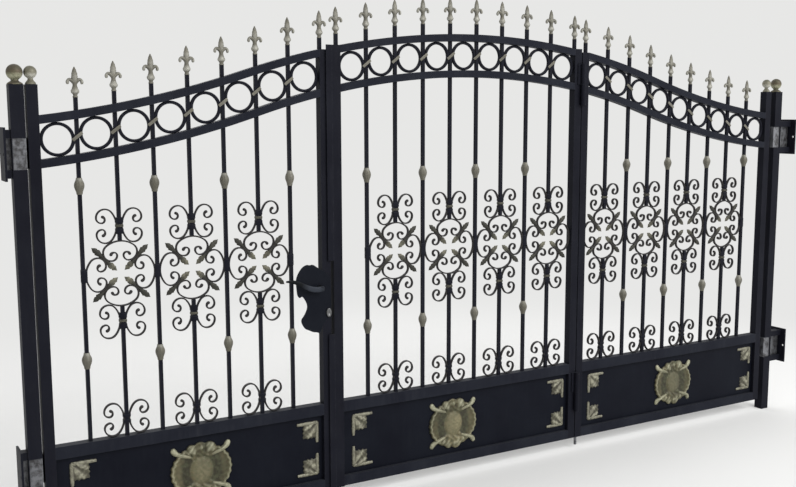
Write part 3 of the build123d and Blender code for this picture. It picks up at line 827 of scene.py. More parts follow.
@dataclass
class Finishes:
    """All the gate's materials and the node groups they share, by name, each built once."""

    made: dict[str, Material] = field(default_factory=dict)
    effects: dict[str, NodeTree] = field(init=False)

    def __post_init__(self) -> None:
        """Builds the shared effects."""
        groups = (worn_edges_group(), dust_group(), painted_shade_group(), grain_group())
        self.effects = {g.name: g for g in groups}

    def get(self, finish: Finish) -> Material:
        """Returns the material of a finish."""
        if finish.name not in self.made:
            self.made[finish.name] = finish.material(self.effects)
        return self.made[finish.name]


# Sub-assemblies


@dataclass
class Maker:
    """What every sub-assembly works with.

    Args:
        layout: where things stand.
        finishes: the gate's materials.
    """

    layout: Layout
    finishes: Finishes

    def set_out(
        self, mesh: Mesh, finish: Finish, body: str, node: str, slot: Slot = Slot.GOLD
    ) -> Object:
        """Makes a piece of a mesh.

        Args:
            mesh: the mesh, in its place, which gives the piece its name.
            finish: what it wears.
            body: the CAD body it moves with.
            node: the CAD node it stands for.
            slot: the record's slot that its finish is of; not used.
        Returns:
            The object, at the origin.
        """
        mesh.materials.append(self.finishes.get(finish))
        thing = linked(mesh.name, mesh)
        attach(thing, body)
        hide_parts(node)
        LOG.info("%s: %d faces on %s", thing.name, len(mesh.polygons), body)
        return thing

    def leaf_piece(
        self, leaf: Leaf, word: str, shell: Shell, finish: Finish, kind: str, slot: Slot = Slot.GOLD
    ) -> None:
        """Makes a leaf's piece of a shell, which stands for the leaf's node of a kind."""
        mesh = smooth_mesh(f"{leaf.word}_{word}", shell)
        self.set_out(mesh, finish, leaf.body, f"{leaf.word}_{kind}", slot)


@dataclass
class Scrollwork(Maker):
    """The forged scrolls, collars and double leaves of one leaf.

    Args:
        height, thickness, depth: a C scroll's height, and its bar's section.
        shoulder, shoulder_reach, curl, end, end_turn: its arcs' radii, reach and last turn.
        blob, blob_reach, flattening: half thickness, length and thinning of the forged end.
        rise, pair_offset: from the quatrefoil's middle to its upper back, and to a pair.
        foot_z: height of the pair on the rail.
        leaf_length, leaf_angles, leaf_place: the double leaves' length, slants (upper and
            lower) and middle.
        collar_proud: how far collars stand out sideways and to the front.
        collar_gap, foot_gap: from a pair's middle to its collars.
    """

    height: float = 134.0
    thickness: float = 6.0
    depth: float = 14.0
    shoulder: float = 32.0
    shoulder_reach: float = 43.0
    curl: float = 20.0
    end: float = 12.0
    end_turn: float = 160.0
    blob: float = 5.8
    blob_reach: float = 17.0
    flattening: float = 1.2
    rise: float = 127.0
    pair_offset: float = 182.0
    foot_z: float = 510.2
    leaf_length: float = 131.0
    leaf_angles: Pair = (45.0, 42.0)
    leaf_place: Pair = (60.5, 58.0)
    collar_proud: Pair = (1.6, 2.0)
    collar_gap: float = 21.0
    foot_gap: float = 11.0

    def path(self) -> tuple[Array, Array]:
        """Lays out the middle line of a C that opens towards +X.

        Its upper half is four arcs, each tangent to the one before: back, shoulder, curl
        and end. A point of an arc is its centre plus radius times cosine and sine.

        Returns:
            Rows of (x, z), and the length run from the nearer end at each.
        """
        top = (self.height - self.thickness) / 2 - self.shoulder
        reach = self.shoulder_reach
        back = (reach**2 + top**2 - self.shoulder**2) / (2 * (reach - self.shoulder))
        meet = math.degrees(math.atan2(top, reach - back))
        curl_x = reach + self.shoulder - self.curl
        end_z = top - self.curl + self.end
        runs = []
        for x, z, radius, start, stop, count in (
            (back, 0.0, back, 180.0, meet, 7),
            (reach, top, self.shoulder, meet, 0.0, 12),
            (curl_x, top, self.curl, 0.0, -90.0, 7),
            (curl_x, end_z, self.end, -90.0, -90.0 - self.end_turn, 11),
        ):
            angle = np.radians(np.linspace(start, stop, count + 1))[1:]
            runs.append(np.stack([x + radius * np.cos(angle), z + radius * np.sin(angle)], axis=1))
        upper = np.concatenate(runs)
        points = np.concatenate([upper[::-1] * [1, -1], [[0.0, 0.0]], upper])
        steps = np.linalg.norm(np.diff(points, axis=0), axis=1)
        run = np.concatenate([[0.0], np.cumsum(steps)])
        return points, np.minimum(run, run[-1] - run)

    def scroll(self) -> Shell:
        """Forges one C: a flat bar with eased edges that swells into a knob at each end."""
        path, run = self.path()
        swell = ease(1 - run / self.blob_reach)
        width = self.thickness / 2 + (self.blob - self.thickness / 2) * swell
        depth = self.depth / 2 - self.flattening * swell
        return ribbon(path, width, depth, section(8, 0.42), cap=self.blob)

    def pair(self, scroll: Shell) -> Shell:
        """Sets two Cs back to back on the sides of a picket."""
        return scroll.moved(x=self.layout.bar / 2 + self.thickness / 2).mirrored(0)

    def band(self, height: float, left: bool = True, right: bool = True) -> Shell:
        """Makes a forged collar with a shallow groove round its middle.

        Args:
            height: its height.
            left, right: whether it also binds a C on that side of the picket.
        Returns:
            The collar.
        """
        proud_x, proud_y = self.collar_proud
        half_x = self.layout.bar / 2 + self.thickness * (left + right) / 2 + proud_x
        half_y = self.depth / 2 + proud_y
        c, s = section(12, 0.14)
        z = np.array([-1, -1, -0.86, -0.2, 0, 0.2, 0.86, 1, 1])[:, None] * height / 2
        size = np.array([0, 0.93, 1, 1, 0.965, 1, 1, 0.93, 0])[:, None]
        # Tone: low in the groove and high on the shoulders, painted shade and highlight on the
        # toned ties.
        tone = np.array([0.5, 0.5, 0.7, 0.5, 0.2, 0.5, 0.7, 0.5, 0.5])[:, None]
        collar = surface(half_x * size * c, half_y * size * s, z, tone)
        return collar.moved(x=self.thickness * (int(right) - int(left)) / 2)

    def double_leaf(self) -> Shell:
        """Casts two pointed blades in line.

        The half width swells from a tight waist to each blade and runs out to a blunt
        tip, times two ripples of unlike pitch for the ragged edges. The section is a
        ridged lens. The tone falls from the inner tip to the outer, dark at the waist.

        Returns:
            The leaf, its middle at the origin.
        """
        t = np.linspace(-1, 1, 57)
        u = np.abs(t)
        width = np.interp(
            u, [0, 0.12, 0.22, 0.4, 0.62, 0.8, 0.93, 1], [4.6, 4.8, 7.6, 9.6, 11.8, 9.4, 4.6, 1.6]
        )
        ragged = np.cos(2 * np.pi * 3.5 * u + 0.6) + 0.6 * np.cos(2 * np.pi * 6.5 * t + 1.0)
        width = width * (1 + 0.11 * ragged * ease(u * 5))
        depth = np.interp(u, [0, 0.12, 0.4, 0.8, 1], [6.8, 6.4, 7.8, 5.0, 1.2])
        path = np.stack([t * (self.leaf_length / 2 - 2), 1.3 * np.sin(np.pi * t)], axis=1)
        tone = np.interp(
            t, [-1, -0.8, -0.45, -0.16, 0, 0.16, 0.4, 1], [0.85, 1, 0.75, 0.1, 0, 0.1, 0.5, 0.42]
        )
        sides = 12
        shell = ribbon(path, width, depth, section(sides, 1.0), cap=1.6, tone=tone)
        vein = 0.2 * np.cos(np.arange(len(shell.points)) % sides * np.pi / 3)
        return shell.toned(shell.tone + vein * ease(4 * shell.tone))

    def iron(self) -> tuple[Shell, Shell]:
        """Gathers the Cs round one picket at x = 0, and the collars that bind them."""
        scroll = self.scroll()
        pair = self.pair(scroll)
        z = self.layout.quatrefoil_z
        side = self.layout.pitch - self.layout.bar / 2 - self.thickness / 2
        rise = self.rise - self.thickness / 2
        made = [
            scroll.moved(x=-side, z=z).mirrored(0),
            scroll.turned(90).moved(z=z - rise), scroll.turned(-90).moved(z=z + rise),
        ]
        tall, low = self.band(20.0), self.band(12.0)
        collars = []
        for way in (-1, 1):
            level = z + way * self.pair_offset
            made.append(pair.moved(z=level))
            collars += [tall.moved(z=level + gap) for gap in (-self.collar_gap, self.collar_gap)]
            collars.append(low.moved(z=self.foot_z + self.foot_gap * way))
        made.append(pair.moved(z=self.foot_z))
        return joined(made), joined(collars)

    def side_bands(self, leaf: Leaf) -> Shell:
        """Binds the Cs to the plain pickets beside them, on the sides where there are some."""
        xs = self.layout.scroll_pickets(leaf)
        bands = []
        for x in self.layout.plain_pickets(leaf):
            sides = (np.isclose(xs, x + way * self.layout.pitch).any() for way in (-1, 1))
            bands.append(self.band(50.0, *sides).moved(x=x, z=self.layout.quatrefoil_z))
        return joined(bands)

    def gilding(self) -> Shell:
        """Gathers the four double leaves round one picket at x = 0, inner tips to its middle."""
        x, z = self.leaf_place
        made = []
        for way, angle in zip((1, -1), self.leaf_angles):
            both = self.double_leaf().turned(angle).moved(x=x, z=z).mirrored(0)
            made.append(both if way > 0 else both.flipped(2))
        return joined(made).moved(z=self.layout.quatrefoil_z)

    def build(self, leaf: Leaf) -> None:
        """Makes a leaf's scrolls, collars, double leaves and ties.

        Args:
            leaf: the leaf. The right one's gilding is duller.
        """
        places = spots(self.layout.scroll_pickets(leaf))
        scrolls, collars = self.iron()
        leaves = self.gilding().copied(places)
        if leaf is Leaf.RIGHT:
            leaves = leaves.toned(leaves.tone * 0.85)
        levels = [self.layout.quatrefoil_z + way * self.pair_offset for way in (-1, 1)]
        ties = joined([self.band(9.0).moved(z=level) for level in levels])
        bands = joined([collars.copied(places), self.side_bands(leaf)])
        for word, shell, finish, slot in (
            ("forged_scrolls", scrolls.copied(places), FORGED_PAINT, Slot.PAINT),
            ("scroll_collars", bands, RING_PAINT, Slot.PAINT),
            ("double_leaves", leaves, LEAF_GILDING, Slot.GOLD),
            ("scroll_ties", ties.copied(places), LEAF_GILDING, Slot.GOLD),
        ):
            self.leaf_piece(leaf, word, shell, finish, "scrollwork", slot)


@dataclass
class RingFrieze(Maker):
    """The row of rings between the arched rails: a ring's outer radius and its section."""

    outer: float = 62.8
    bar: float = 12.0
    depth: float = 14.0

    def ring(self) -> Shell:
        """Bends one ring: a section with eased edges carried round a circle."""
        angle = turns(48)
        path = (self.outer - self.bar / 2) * np.stack([np.cos(angle), np.sin(angle)], axis=1)
        return ribbon(path, self.bar / 2, self.depth / 2, section(12, 0.4), closed=True)

    def build(self, leaf: Leaf) -> None:
        """Makes a leaf's rings."""
        xs = self.layout.rings(leaf)
        rings = self.ring().copied(spots(xs, self.layout.curve_z(xs)))
        self.leaf_piece(leaf, "frieze_rings", rings, RING_PAINT, "rings", Slot.PAINT)


@dataclass
class Finials(Maker):
    """Spear heads with drooping arms, and the balls on tubes."""

    height: float = 110.0

    def spear(self) -> Shell:
        """Casts one spear head: foot, bell and blade in one sweep up its axis, with two arms.

        Half widths along the axis give the outline. Each arm leaves the waist, climbs
        beside the blade and droops into a knob.

        Returns:
            The head, its foot at the origin.
        """
        z = np.linspace(0, self.height - 1, 45)
        share = z / self.height
        width = np.interp(
            share,
            [0, 0.03, 0.07, 0.11, 0.15, 0.2, 0.27, 0.34, 0.42, 0.52, 0.6, 0.7, 0.8, 0.9, 0.96, 1],
            [9.5, 9.5, 7.5, 9, 15, 15.6, 12.4, 8.8, 8, 10, 11.2, 11.5, 9.8, 6.4, 3.4, 1],
        )
        depth = np.interp(
            share, [0, 0.09, 0.18, 0.32, 0.5, 0.7, 0.9, 1], [9, 7, 12, 8, 8.5, 6.5, 4, 1]
        )
        flutes = 1 + 0.04 * np.cos(2 * np.pi * share * 9)
        tone = np.clip(0.35 + (width - 7) / 12, 0, 1)
        axis = np.stack([0 * z, z], axis=1)
        body = ribbon(axis, width * flutes, depth, section(12, 0.9), cap=1.0, tone=tone)
        path = bow([(4.0, 54.0), (12.0, 66.0), (27.0, 69.0), (25.5, 51.5)], 17)
        t = np.linspace(0, 1, len(path))
        size = np.interp(t, [0, 0.3, 0.6, 0.78, 0.9, 1], [7.5, 7.0, 5.4, 5.0, 6.5, 5.8])
        arm = ribbon(path, size, size * 1.1, section(8, 1.0), cap=5.0, tone=0.35 + 0.55 * t)
        return joined([body, arm.mirrored(0)])

    def ball(self, diameter: float, seat: float, seat_height: float, stem: float) -> Shell:
        """Turns one ball on its flared seat.

        The seat's radius falls from foot to stem as a cosine does. Above it the radius is
        the root of the ball's radius squared less the height from its middle squared.

        Args:
            diameter: the ball's.
            seat, seat_height: the seat's diameter at its foot, and its height.
            stem: the diameter where the two meet.
        Returns:
            The ball, its foot at the origin.
        """
        r, foot = diameter / 2, 2.0
        t = np.linspace(0, 1, 10)
        flare = stem / 2 + (seat / 2 - stem / 2) * (0.5 + 0.5 * np.cos(np.pi * t))
        lat = np.linspace(0.05 - math.acos(stem / diameter), np.pi / 2, 18)
        climb, dome = foot + t[1:] * (seat_height - foot), seat_height + r + r * np.sin(lat)
        z = np.concatenate([[0, 0, foot], climb, dome])
        dome_out = r * np.abs(np.round(np.cos(lat), 9))
        return lathe(z, np.concatenate([[0, seat / 2, seat / 2], flare[1:], dome_out]), 32)

    def build(self, leaf: Leaf) -> None:
        """Makes a leaf's spear heads, and the ball on its hinge stile."""
        heads = self.spear().copied(self.layout.finials(leaf))
        self.leaf_piece(leaf, "spear_heads", heads, GREY_GILT, "finials")
        half = self.layout.stile_width / 2
        edges = {Leaf.LEFT: leaf.start + half, Leaf.RIGHT: leaf.end - half}
        if leaf in edges:
            ball = self.ball(diameter=46.0, seat=38.0, seat_height=20.0, stem=18.0)
            ball = ball.moved(x=edges[leaf], z=self.layout.post_height)
            self.leaf_piece(leaf, "stile_ball", ball, PALE_GOLD, "finials")

    def build_posts(self) -> None:
        """Makes the balls on the posts."""
        ball = self.ball(diameter=57.0, seat=54.0, seat_height=14.0, stem=26.0)
        balls = ball.copied(spots(np.array(self.layout.post_xs), self.layout.post_height))
        self.set_out(smooth_mesh("post_top_balls", balls), BALL_GOLD, "posts", "post_balls")


@dataclass
class Knuckles(Maker):
    """Tulip collars on the plain pickets, and the small ties across the pickets at the rings.

    Args:
        height, levels: a collar's height, and where the two rows are.
        tie_half, tie_angle, tie_y: a tie's half sizes, slant and place.
    """

    height: float = 62.0
    levels: Pair = (1412.0, 754.0)
    tie_half: Triple = (23.0, 2.0, 6.0)
    tie_angle: float = 38.0
    tie_y: float = -9.0

    def tulip(self) -> Shell:
        """Turns one collar: a bud that swells from two narrow necks, with eight shallow petals.

        The radius is the neck's plus a swelling that rises as a sine's power from each end
        and is fullest just above the middle, with a bead near each end.

        Returns:
            The collar, its middle at the origin.
        """
        share = np.linspace(0, 1, 31)
        rise = np.where(share < 0.55, share / 0.55, (1 - share) / 0.45)
        r = 10.3 + 8.2 * np.sin(np.pi / 2 * rise) ** 1.7
        for size, middle in ((0.8, 0.05), (0.7, 0.95)):
            r = r + size * np.exp(-((share - middle) / 0.035) ** 2)
        cup = np.pad(ease((share - 0.15) / 0.2) * ease((0.9 - share) / 0.2), 1)
        z = np.pad((share - 0.5) * self.height, 1, mode="edge")
        sides = 32
        petals = np.abs(np.cos(4 * turns(sides)))[None, :] - 0.6
        shell = lathe(z, np.pad(r, 1), sides, 0.07 * cup[:, None] * petals)
        # Painted highlight: the tone rises towards the collar's top.
        high = np.clip((shell.points[:, 2] + 6.0) / 30.0, 0, 1)
        return shell.toned(0.25 + 0.6 * (shell.tone - 0.5) + 0.6 * high)

    def build(self, leaf: Leaf) -> None:
        """Makes a leaf's collars, and its ties, which slant with the arch."""
        places = [spots(self.layout.plain_pickets(leaf), z) for z in self.levels]
        slant = -self.tie_angle if leaf is Leaf.RIGHT else self.tie_angle
        tie = pillow(*self.tie_half, 0.2).turned(slant).moved(y=self.tie_y)
        xs = self.layout.pickets(leaf)
        ties = tie.copied(spots(xs, self.layout.curve_z(xs)))
        shell = joined([self.tulip().copied(np.concatenate(places)), ties])
        self.leaf_piece(leaf, "tulip_knuckles", shell, GREY_GILT, "knuckles")


@dataclass
class PanelCastings(Maker):
    """Medallion and corner castings on both faces of a kick panel.

    Args:
        face: how far the sheet's face is from its middle.
        middle_z: height of the medallion's middle.
        low_z, high_z: outer edges of the corner castings.
        left_margin, right_margin: from each stile to the corner castings.
        level_arm, upright_arm, arm: length of a corner's two arms, and their half width.
        body: width and height of a corner's leafy body.
        boss: half width and half height of the medallion's boss.
    """

    face: float = 2.0
    middle_z: float = 248.0
    low_z: float = 130.0
    high_z: float = 371.0
    left_margin: float = 50.0
    right_margin: float = 19.0
    level_arm: float = 102.0
    upright_arm: float = 97.0
    arm: float = 8.0
    body: Pair = (76.0, 77.0)
    boss: Pair = (46.0, 56.0)

    def medallion(self) -> Shell:
        """Casts the oval boss in its dish, between two scalloped rims and two leaf fans.

        The outline's radius has uneven lobes on each fan and small scallops down the
        sides. The height is a low hill for the boss, a bell curve of the radius for the
        ridge, a sine's power for the fans, and a product of bent cosines for the lumps.
        The tone paints shade in a ring round the boss and highlight on ridge and lobes.

        Returns:
            The medallion, its middle at the origin.
        """
        angle = turns(192)
        fan = ease((np.abs(np.sin(angle)) - 0.72) / 0.1)
        bent = 7.5 * (angle - np.pi / 2) + 0.5 * np.sin(3 * angle + 0.4)
        lobes = np.abs(np.cos(bent)) ** 0.8 * (0.8 + 0.2 * np.cos(5 * angle + 1.1))
        side = 107.0 + 21.0 * np.cos(angle) ** 2 + 2.0 * np.cos(30 * angle)
        rim = fan * (110.0 + 12.0 * lobes) + (1 - fan) * side
        share = np.concatenate([np.linspace(0, 0.48, 14), np.linspace(0.51, 1, 24)])
        r = share[:, None] * rim[None, :]
        x, z = r * np.cos(angle), r * np.sin(angle)
        lumps = np.cos(x / 6.5 + 1.5 * np.sin(z / 10.0)) * np.cos(z / 7.5 + 1.6 * np.sin(x / 12.0))
        dome = np.clip(1 - (x / self.boss[0]) ** 2 - (z / self.boss[1]) ** 2, 0, 1)
        ridge = np.exp(-(((r - rim + 8.0) / 7.0) ** 2)) * (1 - fan)
        leafy = fan * np.sin(np.pi * np.clip((r - 56.0) / (rim - 52.0), 0, 1)) ** 0.7
        height = 5.0 + 7.5 * dome**0.6 + 7.0 * ridge
        height = height + leafy * (3.0 + 5.5 * lobes + 2.6 * lumps) + 0.9 * lumps
        height[-1] = 3.0
        shell = relief(rim, angle, share, height)
        across, up = shell.points[:, 0], shell.points[:, 2]
        from_boss = np.hypot(across / self.boss[0], up / self.boss[1])
        outer = ease((from_boss - 0.9) / 0.3)
        upright = ease((np.abs(up) / (np.hypot(across, up) + 1e-6) - 0.72) / 0.1)
        # Painted shade in the dish round the boss, less above and below it; beyond the boss the
        # tone follows height, painted highlight on raised parts.
        moat_shade = np.exp(-(((from_boss - 1.42) / 0.36) ** 2)) * (1 - 0.6 * upright)
        return shell.toned(0.56 + outer * (shell.tone - 0.46) - 0.5 * moat_shade)

    def horn(self) -> Shell:
        """Casts one horn: a bar that leaves the dish, bends outwards and ends in a knob."""
        path = bow([(50.0, 62.0), (82.0, 75.0), (105.0, 76.0), (114.0, 97.0)], 17)
        t = np.linspace(0, 1, len(path))
        width = np.interp(t, [0, 0.3, 0.6, 0.85, 1], [8.0, 10.0, 9.4, 12.6, 11.6])
        depth = np.interp(t, [0, 0.4, 0.65, 0.85, 1], [12, 17, 14, 10, 8])
        return ribbon(path, width, depth, section(10, 0.9), cap=11.0, tone=0.7 + 0.3 * t)

    def corner(self) -> Shell:
        """Casts one leafy corner, its corner at the origin.

        The body is a rounded square whose radius ripples. Its height fades at the rim,
        with a product of cosines for lumps, and veins that fan out from the corner. A
        straight arm runs along each edge.

        Returns:
            The casting.
        """
        angle = turns(112)
        half_x, half_z = self.body[0] / 2, self.body[1] / 2
        c, s = np.cos(angle), np.sin(angle)
        radius = ((np.abs(c) / half_x) ** 7 + (np.abs(s) / half_z) ** 7) ** (-1 / 7)
        free = ease((np.cos(angle - np.pi / 4) + 0.35) / 0.6)
        radius = radius * (1 - 0.06 * free * (1 + np.cos(13 * angle)))
        share = np.linspace(0, 1, 16)
        x, z = half_x + share[:, None] * radius * c, half_z + share[:, None] * radius * s
        lumps = np.cos(x / 4.6 + 1.2 * np.sin(z / 9.0)) * np.cos(z / 5.4 + 1.4 * np.sin(x / 8.0))
        veins = 0.5 + 0.5 * np.cos(13 * np.arctan2(z + 8, x + 8))
        fade = np.sqrt(np.clip(1 - share[:, None] ** 5, 0, 1))
        height = 1.0 + fade * (1.6 + 2.6 * (0.5 + 0.5 * lumps) + 3.4 * veins)
        leafy = relief(radius, angle, share, height)
        # Stronger tone contrast: painted shade in the hollows between veins and lumps, painted
        # highlight on their tops.
        leafy = leafy.toned(0.5 + 1.5 * (leafy.tone - 0.52))
        made = [leafy.moved(x=half_x, z=half_z)]
        for reach, up in ((self.level_arm, False), (self.upright_arm, True)):
            run = np.linspace(self.arm, reach - 3.0, 19)
            path = np.stack([run, 0 * run + self.arm], axis=1)
            width = np.interp(run, [0, 0.7 * reach, reach], [self.arm, self.arm, 0.8 * self.arm])
            width = width * (1 + 0.07 * np.cos(run / 3.2))
            arm = ribbon(path, width, 5.5, section(8, 0.9), cap=3.0, tone=0.85)
            made.append(arm.laid([2, 1, 0], (1, 1, 1)) if up else arm)
        return joined(made)

    def build(self, leaf: Leaf) -> None:
        """Makes a leaf's castings, front and back.

        Args:
            leaf: the leaf. On each the medallion is off the middle by its own amount.
        """
        start = leaf.start + self.layout.stile_width + self.left_margin
        end = leaf.end - self.layout.stile_width - self.right_margin
        offset = {Leaf.LEFT: 11.0, Leaf.MIDDLE: -48.0, Leaf.RIGHT: 13.0}[leaf]
        middle = joined([self.medallion(), self.horn().mirrored(0).mirrored(2)])
        middle = middle.moved(x=(leaf.start + leaf.end) / 2 + offset, z=self.middle_z)
        corner = self.corner()
        corners = joined([
            casting.moved(x=x, z=z)
            for shell, z in ((corner, self.low_z), (corner.flipped(2), self.high_z))
            for casting, x in ((shell, start), (shell.flipped(0), end))
        ])
        for word, shell, finish in (
            ("medallions", middle, ANTIQUE_GOLD),
            ("corner_castings", corners, CORNER_GOLD),
        ):
            both = shell.moved(y=-self.face).mirrored(1)
            self.leaf_piece(leaf, word, both, finish, "panel_ornaments")


@dataclass
class LockSet(Maker):
    """Lock plate, its key cylinder and the lever.

    Args:
        front: where the lock case's front is along Y.
        thickness, sunk, bevel: the plate's, with how far it reaches into the case.
        pivot, key: the spindle and the key cylinder, from the plate's edge and middle.
        lever_y, spindle_y: the lever and its spindle, from the plate's face.
    """

    front: float = -20.0
    thickness: float = 4.0
    sunk: float = 0.2
    bevel: float = 1.4
    pivot: Pair = (55.0, 44.0)
    key: Pair = (14.0, 65.0)
    lever_y: float = -23.0
    spindle_y: float = 0.4

    def plate(self) -> Mesh:
        """Cuts the plate: a smoothed outline, with one face for its sides between two ends.

        Returns:
            The plate's mesh.
        """
        corners = [
            (-139, 133), (-114, 147), (-99, 142), (-85, 146), (-62, 129), (-40, 118), (-14, 96),
            (-1, 72), (-1, -86), (-34, -103), (-54, -153), (-68, -145), (-87, -143), (-105, -133),
            (-126, -125), (-145, -88), (-127, -68), (-113, -40), (-113, -19), (-134, 17),
            (-146, 6), (-157, 19), (-160, 46), (-164, 91),
        ]
        loop = smooth_loop(corners, 2) + [self.layout.lock_edge_x, self.layout.lock_z]
        count = len(loop)
        sides = (self.front + self.sunk, self.front - self.thickness)
        points = np.concatenate([np.insert(loop, 1, y, axis=1) for y in sides])
        i = np.arange(count)
        walls = np.stack([i, (i + 1) % count, (i + 1) % count + count, i + count], axis=1)
        faces = walls.tolist() + [i.tolist(), (i + count)[::-1].tolist()]
        return mesh_of("lock_backplate", points, faces)

    def lever(self) -> Shell:
        """Forges the lever: a bar that swells at its spindle and sweeps up to a thin tip.

        Returns:
            The lever and its spindle, the middle of the spindle's foot at the origin.
        """
        path = bow([(8.0, 0.0), (-70.0, -14.0), (-88.0, 42.0), (-158.0, 42.0)], 41)
        t = np.linspace(0, 1, len(path))
        width = np.interp(t, [0, 0.08, 0.3, 0.6, 0.85, 1], [10.5, 12.0, 11.5, 9.5, 7.6, 4.2])
        depth = np.interp(t, [0, 0.5, 1], [5.0, 4.8, 3.6])
        # Painted highlight along the broad part near the spindle, fading to painted shade at the
        # tip.
        tone = np.interp(t, [0, 0.1, 0.35, 0.55, 0.75, 1], [0.7, 0.95, 0.95, 0.6, 0.15, 0.0])
        bar = ribbon(path, width, depth, section(12, 0.7), cap=4.0, tone=tone)
        rises = np.array([0, 0, 1.5, 22.0, 25.5, 28.0, 28.0])
        boss = lathe(rises, np.array([0, 12.0, 12.5, 9.0, 8.0, 8.0, 0]), 24)
        spindle = boss.laid([0, 2, 1], (1, -1, 1))
        return joined([bar.moved(y=self.lever_y), spindle.moved(y=self.spindle_y)])

    def cylinder(self) -> Shell:
        """Makes the oval key cylinder with a rim and a sunk middle.

        Returns:
            The cylinder, its middle at the origin.
        """
        angle = turns(40)
        radius = 1 / np.sqrt((np.cos(angle) / 11.0) ** 2 + (np.sin(angle) / 19.0) ** 2)
        share = np.array([0, 0.12, 0.3, 0.62, 0.68, 0.9, 1.0])
        slot = np.abs(np.outer(share * radius.max(), np.cos(angle)))
        height = np.array([2.5, 5.0, 5.2, 5.2, 6.0, 6.0, 4.8])[:, None] + 0 * slot
        height[:2] = np.where(slot[:2] < 2.0, height[0, 0], height[:2])
        return relief(radius, angle, share, height)

    def build(self) -> None:
        """Makes the lock's visible pieces."""
        leaf, (edge, middle) = Leaf.LEFT.body, (self.layout.lock_edge_x, self.layout.lock_z)
        plate = self.set_out(self.plate(), LOCK_IRON, leaf, "lock_plate", Slot.LOCK)
        eased = plate.modifiers.new("eased_edges", "BEVEL")
        eased.width, eased.segments, eased.limit_method = self.bevel * MM, 3, "ANGLE"
        face = self.front - self.thickness
        key = self.cylinder().moved(edge - self.key[0], face, middle - self.key[1])
        key_mesh = smooth_mesh("key_cylinder", key)
        self.set_out(key_mesh, KEY_STEEL, leaf, "lock_plate", Slot.LOCK)
        lever = self.lever().moved(edge - self.pivot[0], face, middle + self.pivot[1])
        lever_mesh = smooth_mesh("lever_handle", lever)
        self.set_out(lever_mesh, LEVER_IRON, "lock_lever", "lock_lever", Slot.LOCK)


@dataclass
class Frames:
    """The CAD nodes that stay, dressed with their finishes."""

    nodes: dict[str, Object]
    finishes: Finishes

    def finish_of(self, node: str) -> Finish:
        """Returns the finish that a node wears."""
        # The kick panel wears the darker copy of the black paint, a painted shade.
        if node.endswith("kick_panel"):
            return SHADED_PANEL_PAINT
        # The rails wear the lighter copy of the black paint, painted light.
        if node.endswith("rails"):
            return LIT_RAIL_PAINT
        return HINGE_STEEL if node in ("post_hinges", "drop_bolt") else BLACK_PAINT

    def build(self) -> None:
        """Puts a material on every CAD node."""
        for name, node in self.nodes.items():
            material = self.finishes.get(self.finish_of(name))
            if not node.material_slots:
                node.data.materials.append(material)
            for place in node.material_slots:
                place.link = "OBJECT"
                place.material = material
            LOG.info("%s wears %s", name, material.name)


# Studio


@dataclass(frozen=True)
class Lamp:
    """A square lamp that faces the gate's middle, in metres and watts."""

    name: str
    place: Triple
    size: float
    power: float
    aim: Triple = (1.9, 0.0, 0.9)

    def hang(self) -> None:
        """Hangs the lamp."""
        data = bpy.data.lights.new(self.name, "AREA")
        data.energy, data.size = self.power, self.size
        lamp = linked(self.name, data)
        lamp.location = self.place
        ahead = Vector(self.aim) - Vector(self.place)
        lamp.rotation_euler = ahead.to_track_quat("-Z", "Y").to_euler()


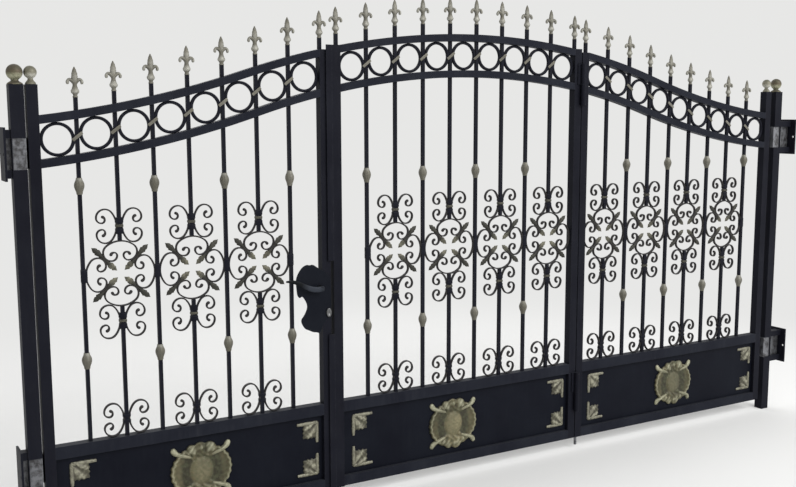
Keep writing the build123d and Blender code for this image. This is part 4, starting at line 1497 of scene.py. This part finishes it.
@dataclass(frozen=True)
class Studio:
    """Camera, lights and floor, in metres and degrees.

    Args:
        eye, heading, pitch, roll, lens, sensor: the camera's place, turns and optics.
        sky: brightness of the world's light.
        pale: the colour of floor and background.
        plain_from, plain_to: how far from the gate's middle the floor turns plain.
    """

    eye: Triple = (-0.6037, -3.7636, 1.6866)
    heading: float = 29.857
    pitch: float = 7.610
    roll: float = -0.1315
    lens: float = 45.16
    sensor: float = 36.0
    sky: float = 0.75
    pale: Triple = (0.8, 0.8, 0.79)
    floor_half: float = 40.0
    gate_middle: Triple = (1.95, 0.0, 0.0)
    plain_from: float = 2.3
    plain_to: float = 4.8
    lamps: tuple[Lamp, ...] = (
        Lamp("key_lamp", (5.3, -8.9, 7.7), 6.6, 800.0),
        Lamp("fill_lamp", (9.2, -5.2, 5.0), 6.5, 185.0),
        Lamp("back_lamp", (2.0, 6.0, 5.0), 5.0, 95.0),
    )

    def camera(self) -> None:
        """Sets the camera where the photograph was taken from."""
        a, b, c = (math.radians(v) for v in (self.heading, self.pitch, self.roll))
        ahead = Vector((math.sin(a) * math.cos(b), math.cos(a) * math.cos(b), -math.sin(b)))
        level = Vector((math.cos(a), -math.sin(a), 0.0))
        upward = level.cross(ahead)
        right = math.cos(c) * level + math.sin(c) * upward
        up = math.cos(c) * upward - math.sin(c) * level
        data = bpy.data.cameras.new("camera")
        data.lens, data.sensor_width, data.sensor_fit = self.lens, self.sensor, "HORIZONTAL"
        data.clip_start, data.clip_end = 0.05, 200.0
        camera = linked("camera", data)
        turn = Matrix((right, up, -ahead)).transposed().to_4x4()
        camera.matrix_world = Matrix.Translation(self.eye) @ turn
        bpy.context.scene.camera = camera

    def world(self) -> None:
        """Lights the gate evenly, with a pale background for the camera and reflections."""
        world = bpy.data.worlds.new("studio")
        bpy.context.scene.world = world
        bench = cleared(world)
        rays = bench.node("LightPath").outputs
        seen = bench.maths("MAXIMUM", rays["Is Camera Ray"], rays["Is Transmission Ray"])
        seen = bench.maths("MAXIMUM", seen, rays["Is Glossy Ray"])
        light = {"Color": (1, 1, 1, 1), "Strength": self.sky}
        shown = {"Color": (*self.pale, 1), "Strength": 1.0}
        sides = [bench.node("Background", inputs) for inputs in (light, shown)]
        bench.shaders(seen, *sides, "OutputWorld")

    def floor(self) -> None:
        """Lays a wide pale floor with a faint mottle, which turns plain away from the gate."""
        half = self.floor_half
        mesh = bpy.data.meshes.new("floor")
        corners = [(-half, -half, 0), (half, -half, 0), (half, half, 0), (-half, half, 0)]
        mesh.from_pydata(corners, [], [(0, 1, 2, 3)])
        material = bpy.data.materials.new("floor_card")
        bench = cleared(material)
        place = bench.place()
        tint = bench.mix(bench.noise(place, 1.5), self.pale, tuple(v * 0.97 for v in self.pale))
        card = bench.node("BsdfPrincipled", {
            "Base Color": tint, "Roughness": 1.0, "Specular IOR Level": 0.0,
        })
        ends = {0: place, 1: self.gate_middle}
        away = bench.node("VectorMath", ends, operation="DISTANCE").outputs["Value"]
        fade = {"Value": away, "From Min": self.plain_from, "From Max": self.plain_to}
        far = bench.node("MapRange", fade, interpolation_type="SMOOTHSTEP").outputs[0]
        seen = bench.node("LightPath").outputs["Is Camera Ray"]
        plain = {"Color": (*self.pale, 1), "Strength": 1.0}
        glow = bench.node("Emission", plain)
        bench.shaders(bench.times(far, seen), card, glow, "OutputMaterial")
        mesh.materials.append(material)
        linked("floor", mesh)

    def build(self) -> None:
        """Sets up the whole studio."""
        bpy.context.scene.view_settings.view_transform = "Standard"
        self.camera()
        for lamp in self.lamps:
            lamp.hang()
        self.world()
        self.floor()


def main() -> None:
    """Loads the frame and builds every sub-assembly in order."""
    logging.basicConfig(level=logging.INFO, format="%(name)s: %(message)s")
    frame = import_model()
    layout, finishes = Layout(), Finishes()
    Studio().build()
    Frames(frame["nodes"], finishes).build()
    for leaf in Leaf:
        for maker in (Scrollwork, RingFrieze, Finials, Knuckles, PanelCastings):
            maker(layout, finishes).build(leaf)
    Finials(layout, finishes).build_posts()
    LockSet(layout, finishes).build()
    bpy.context.view_layer.update()


if __name__ == "__main__":
    main()
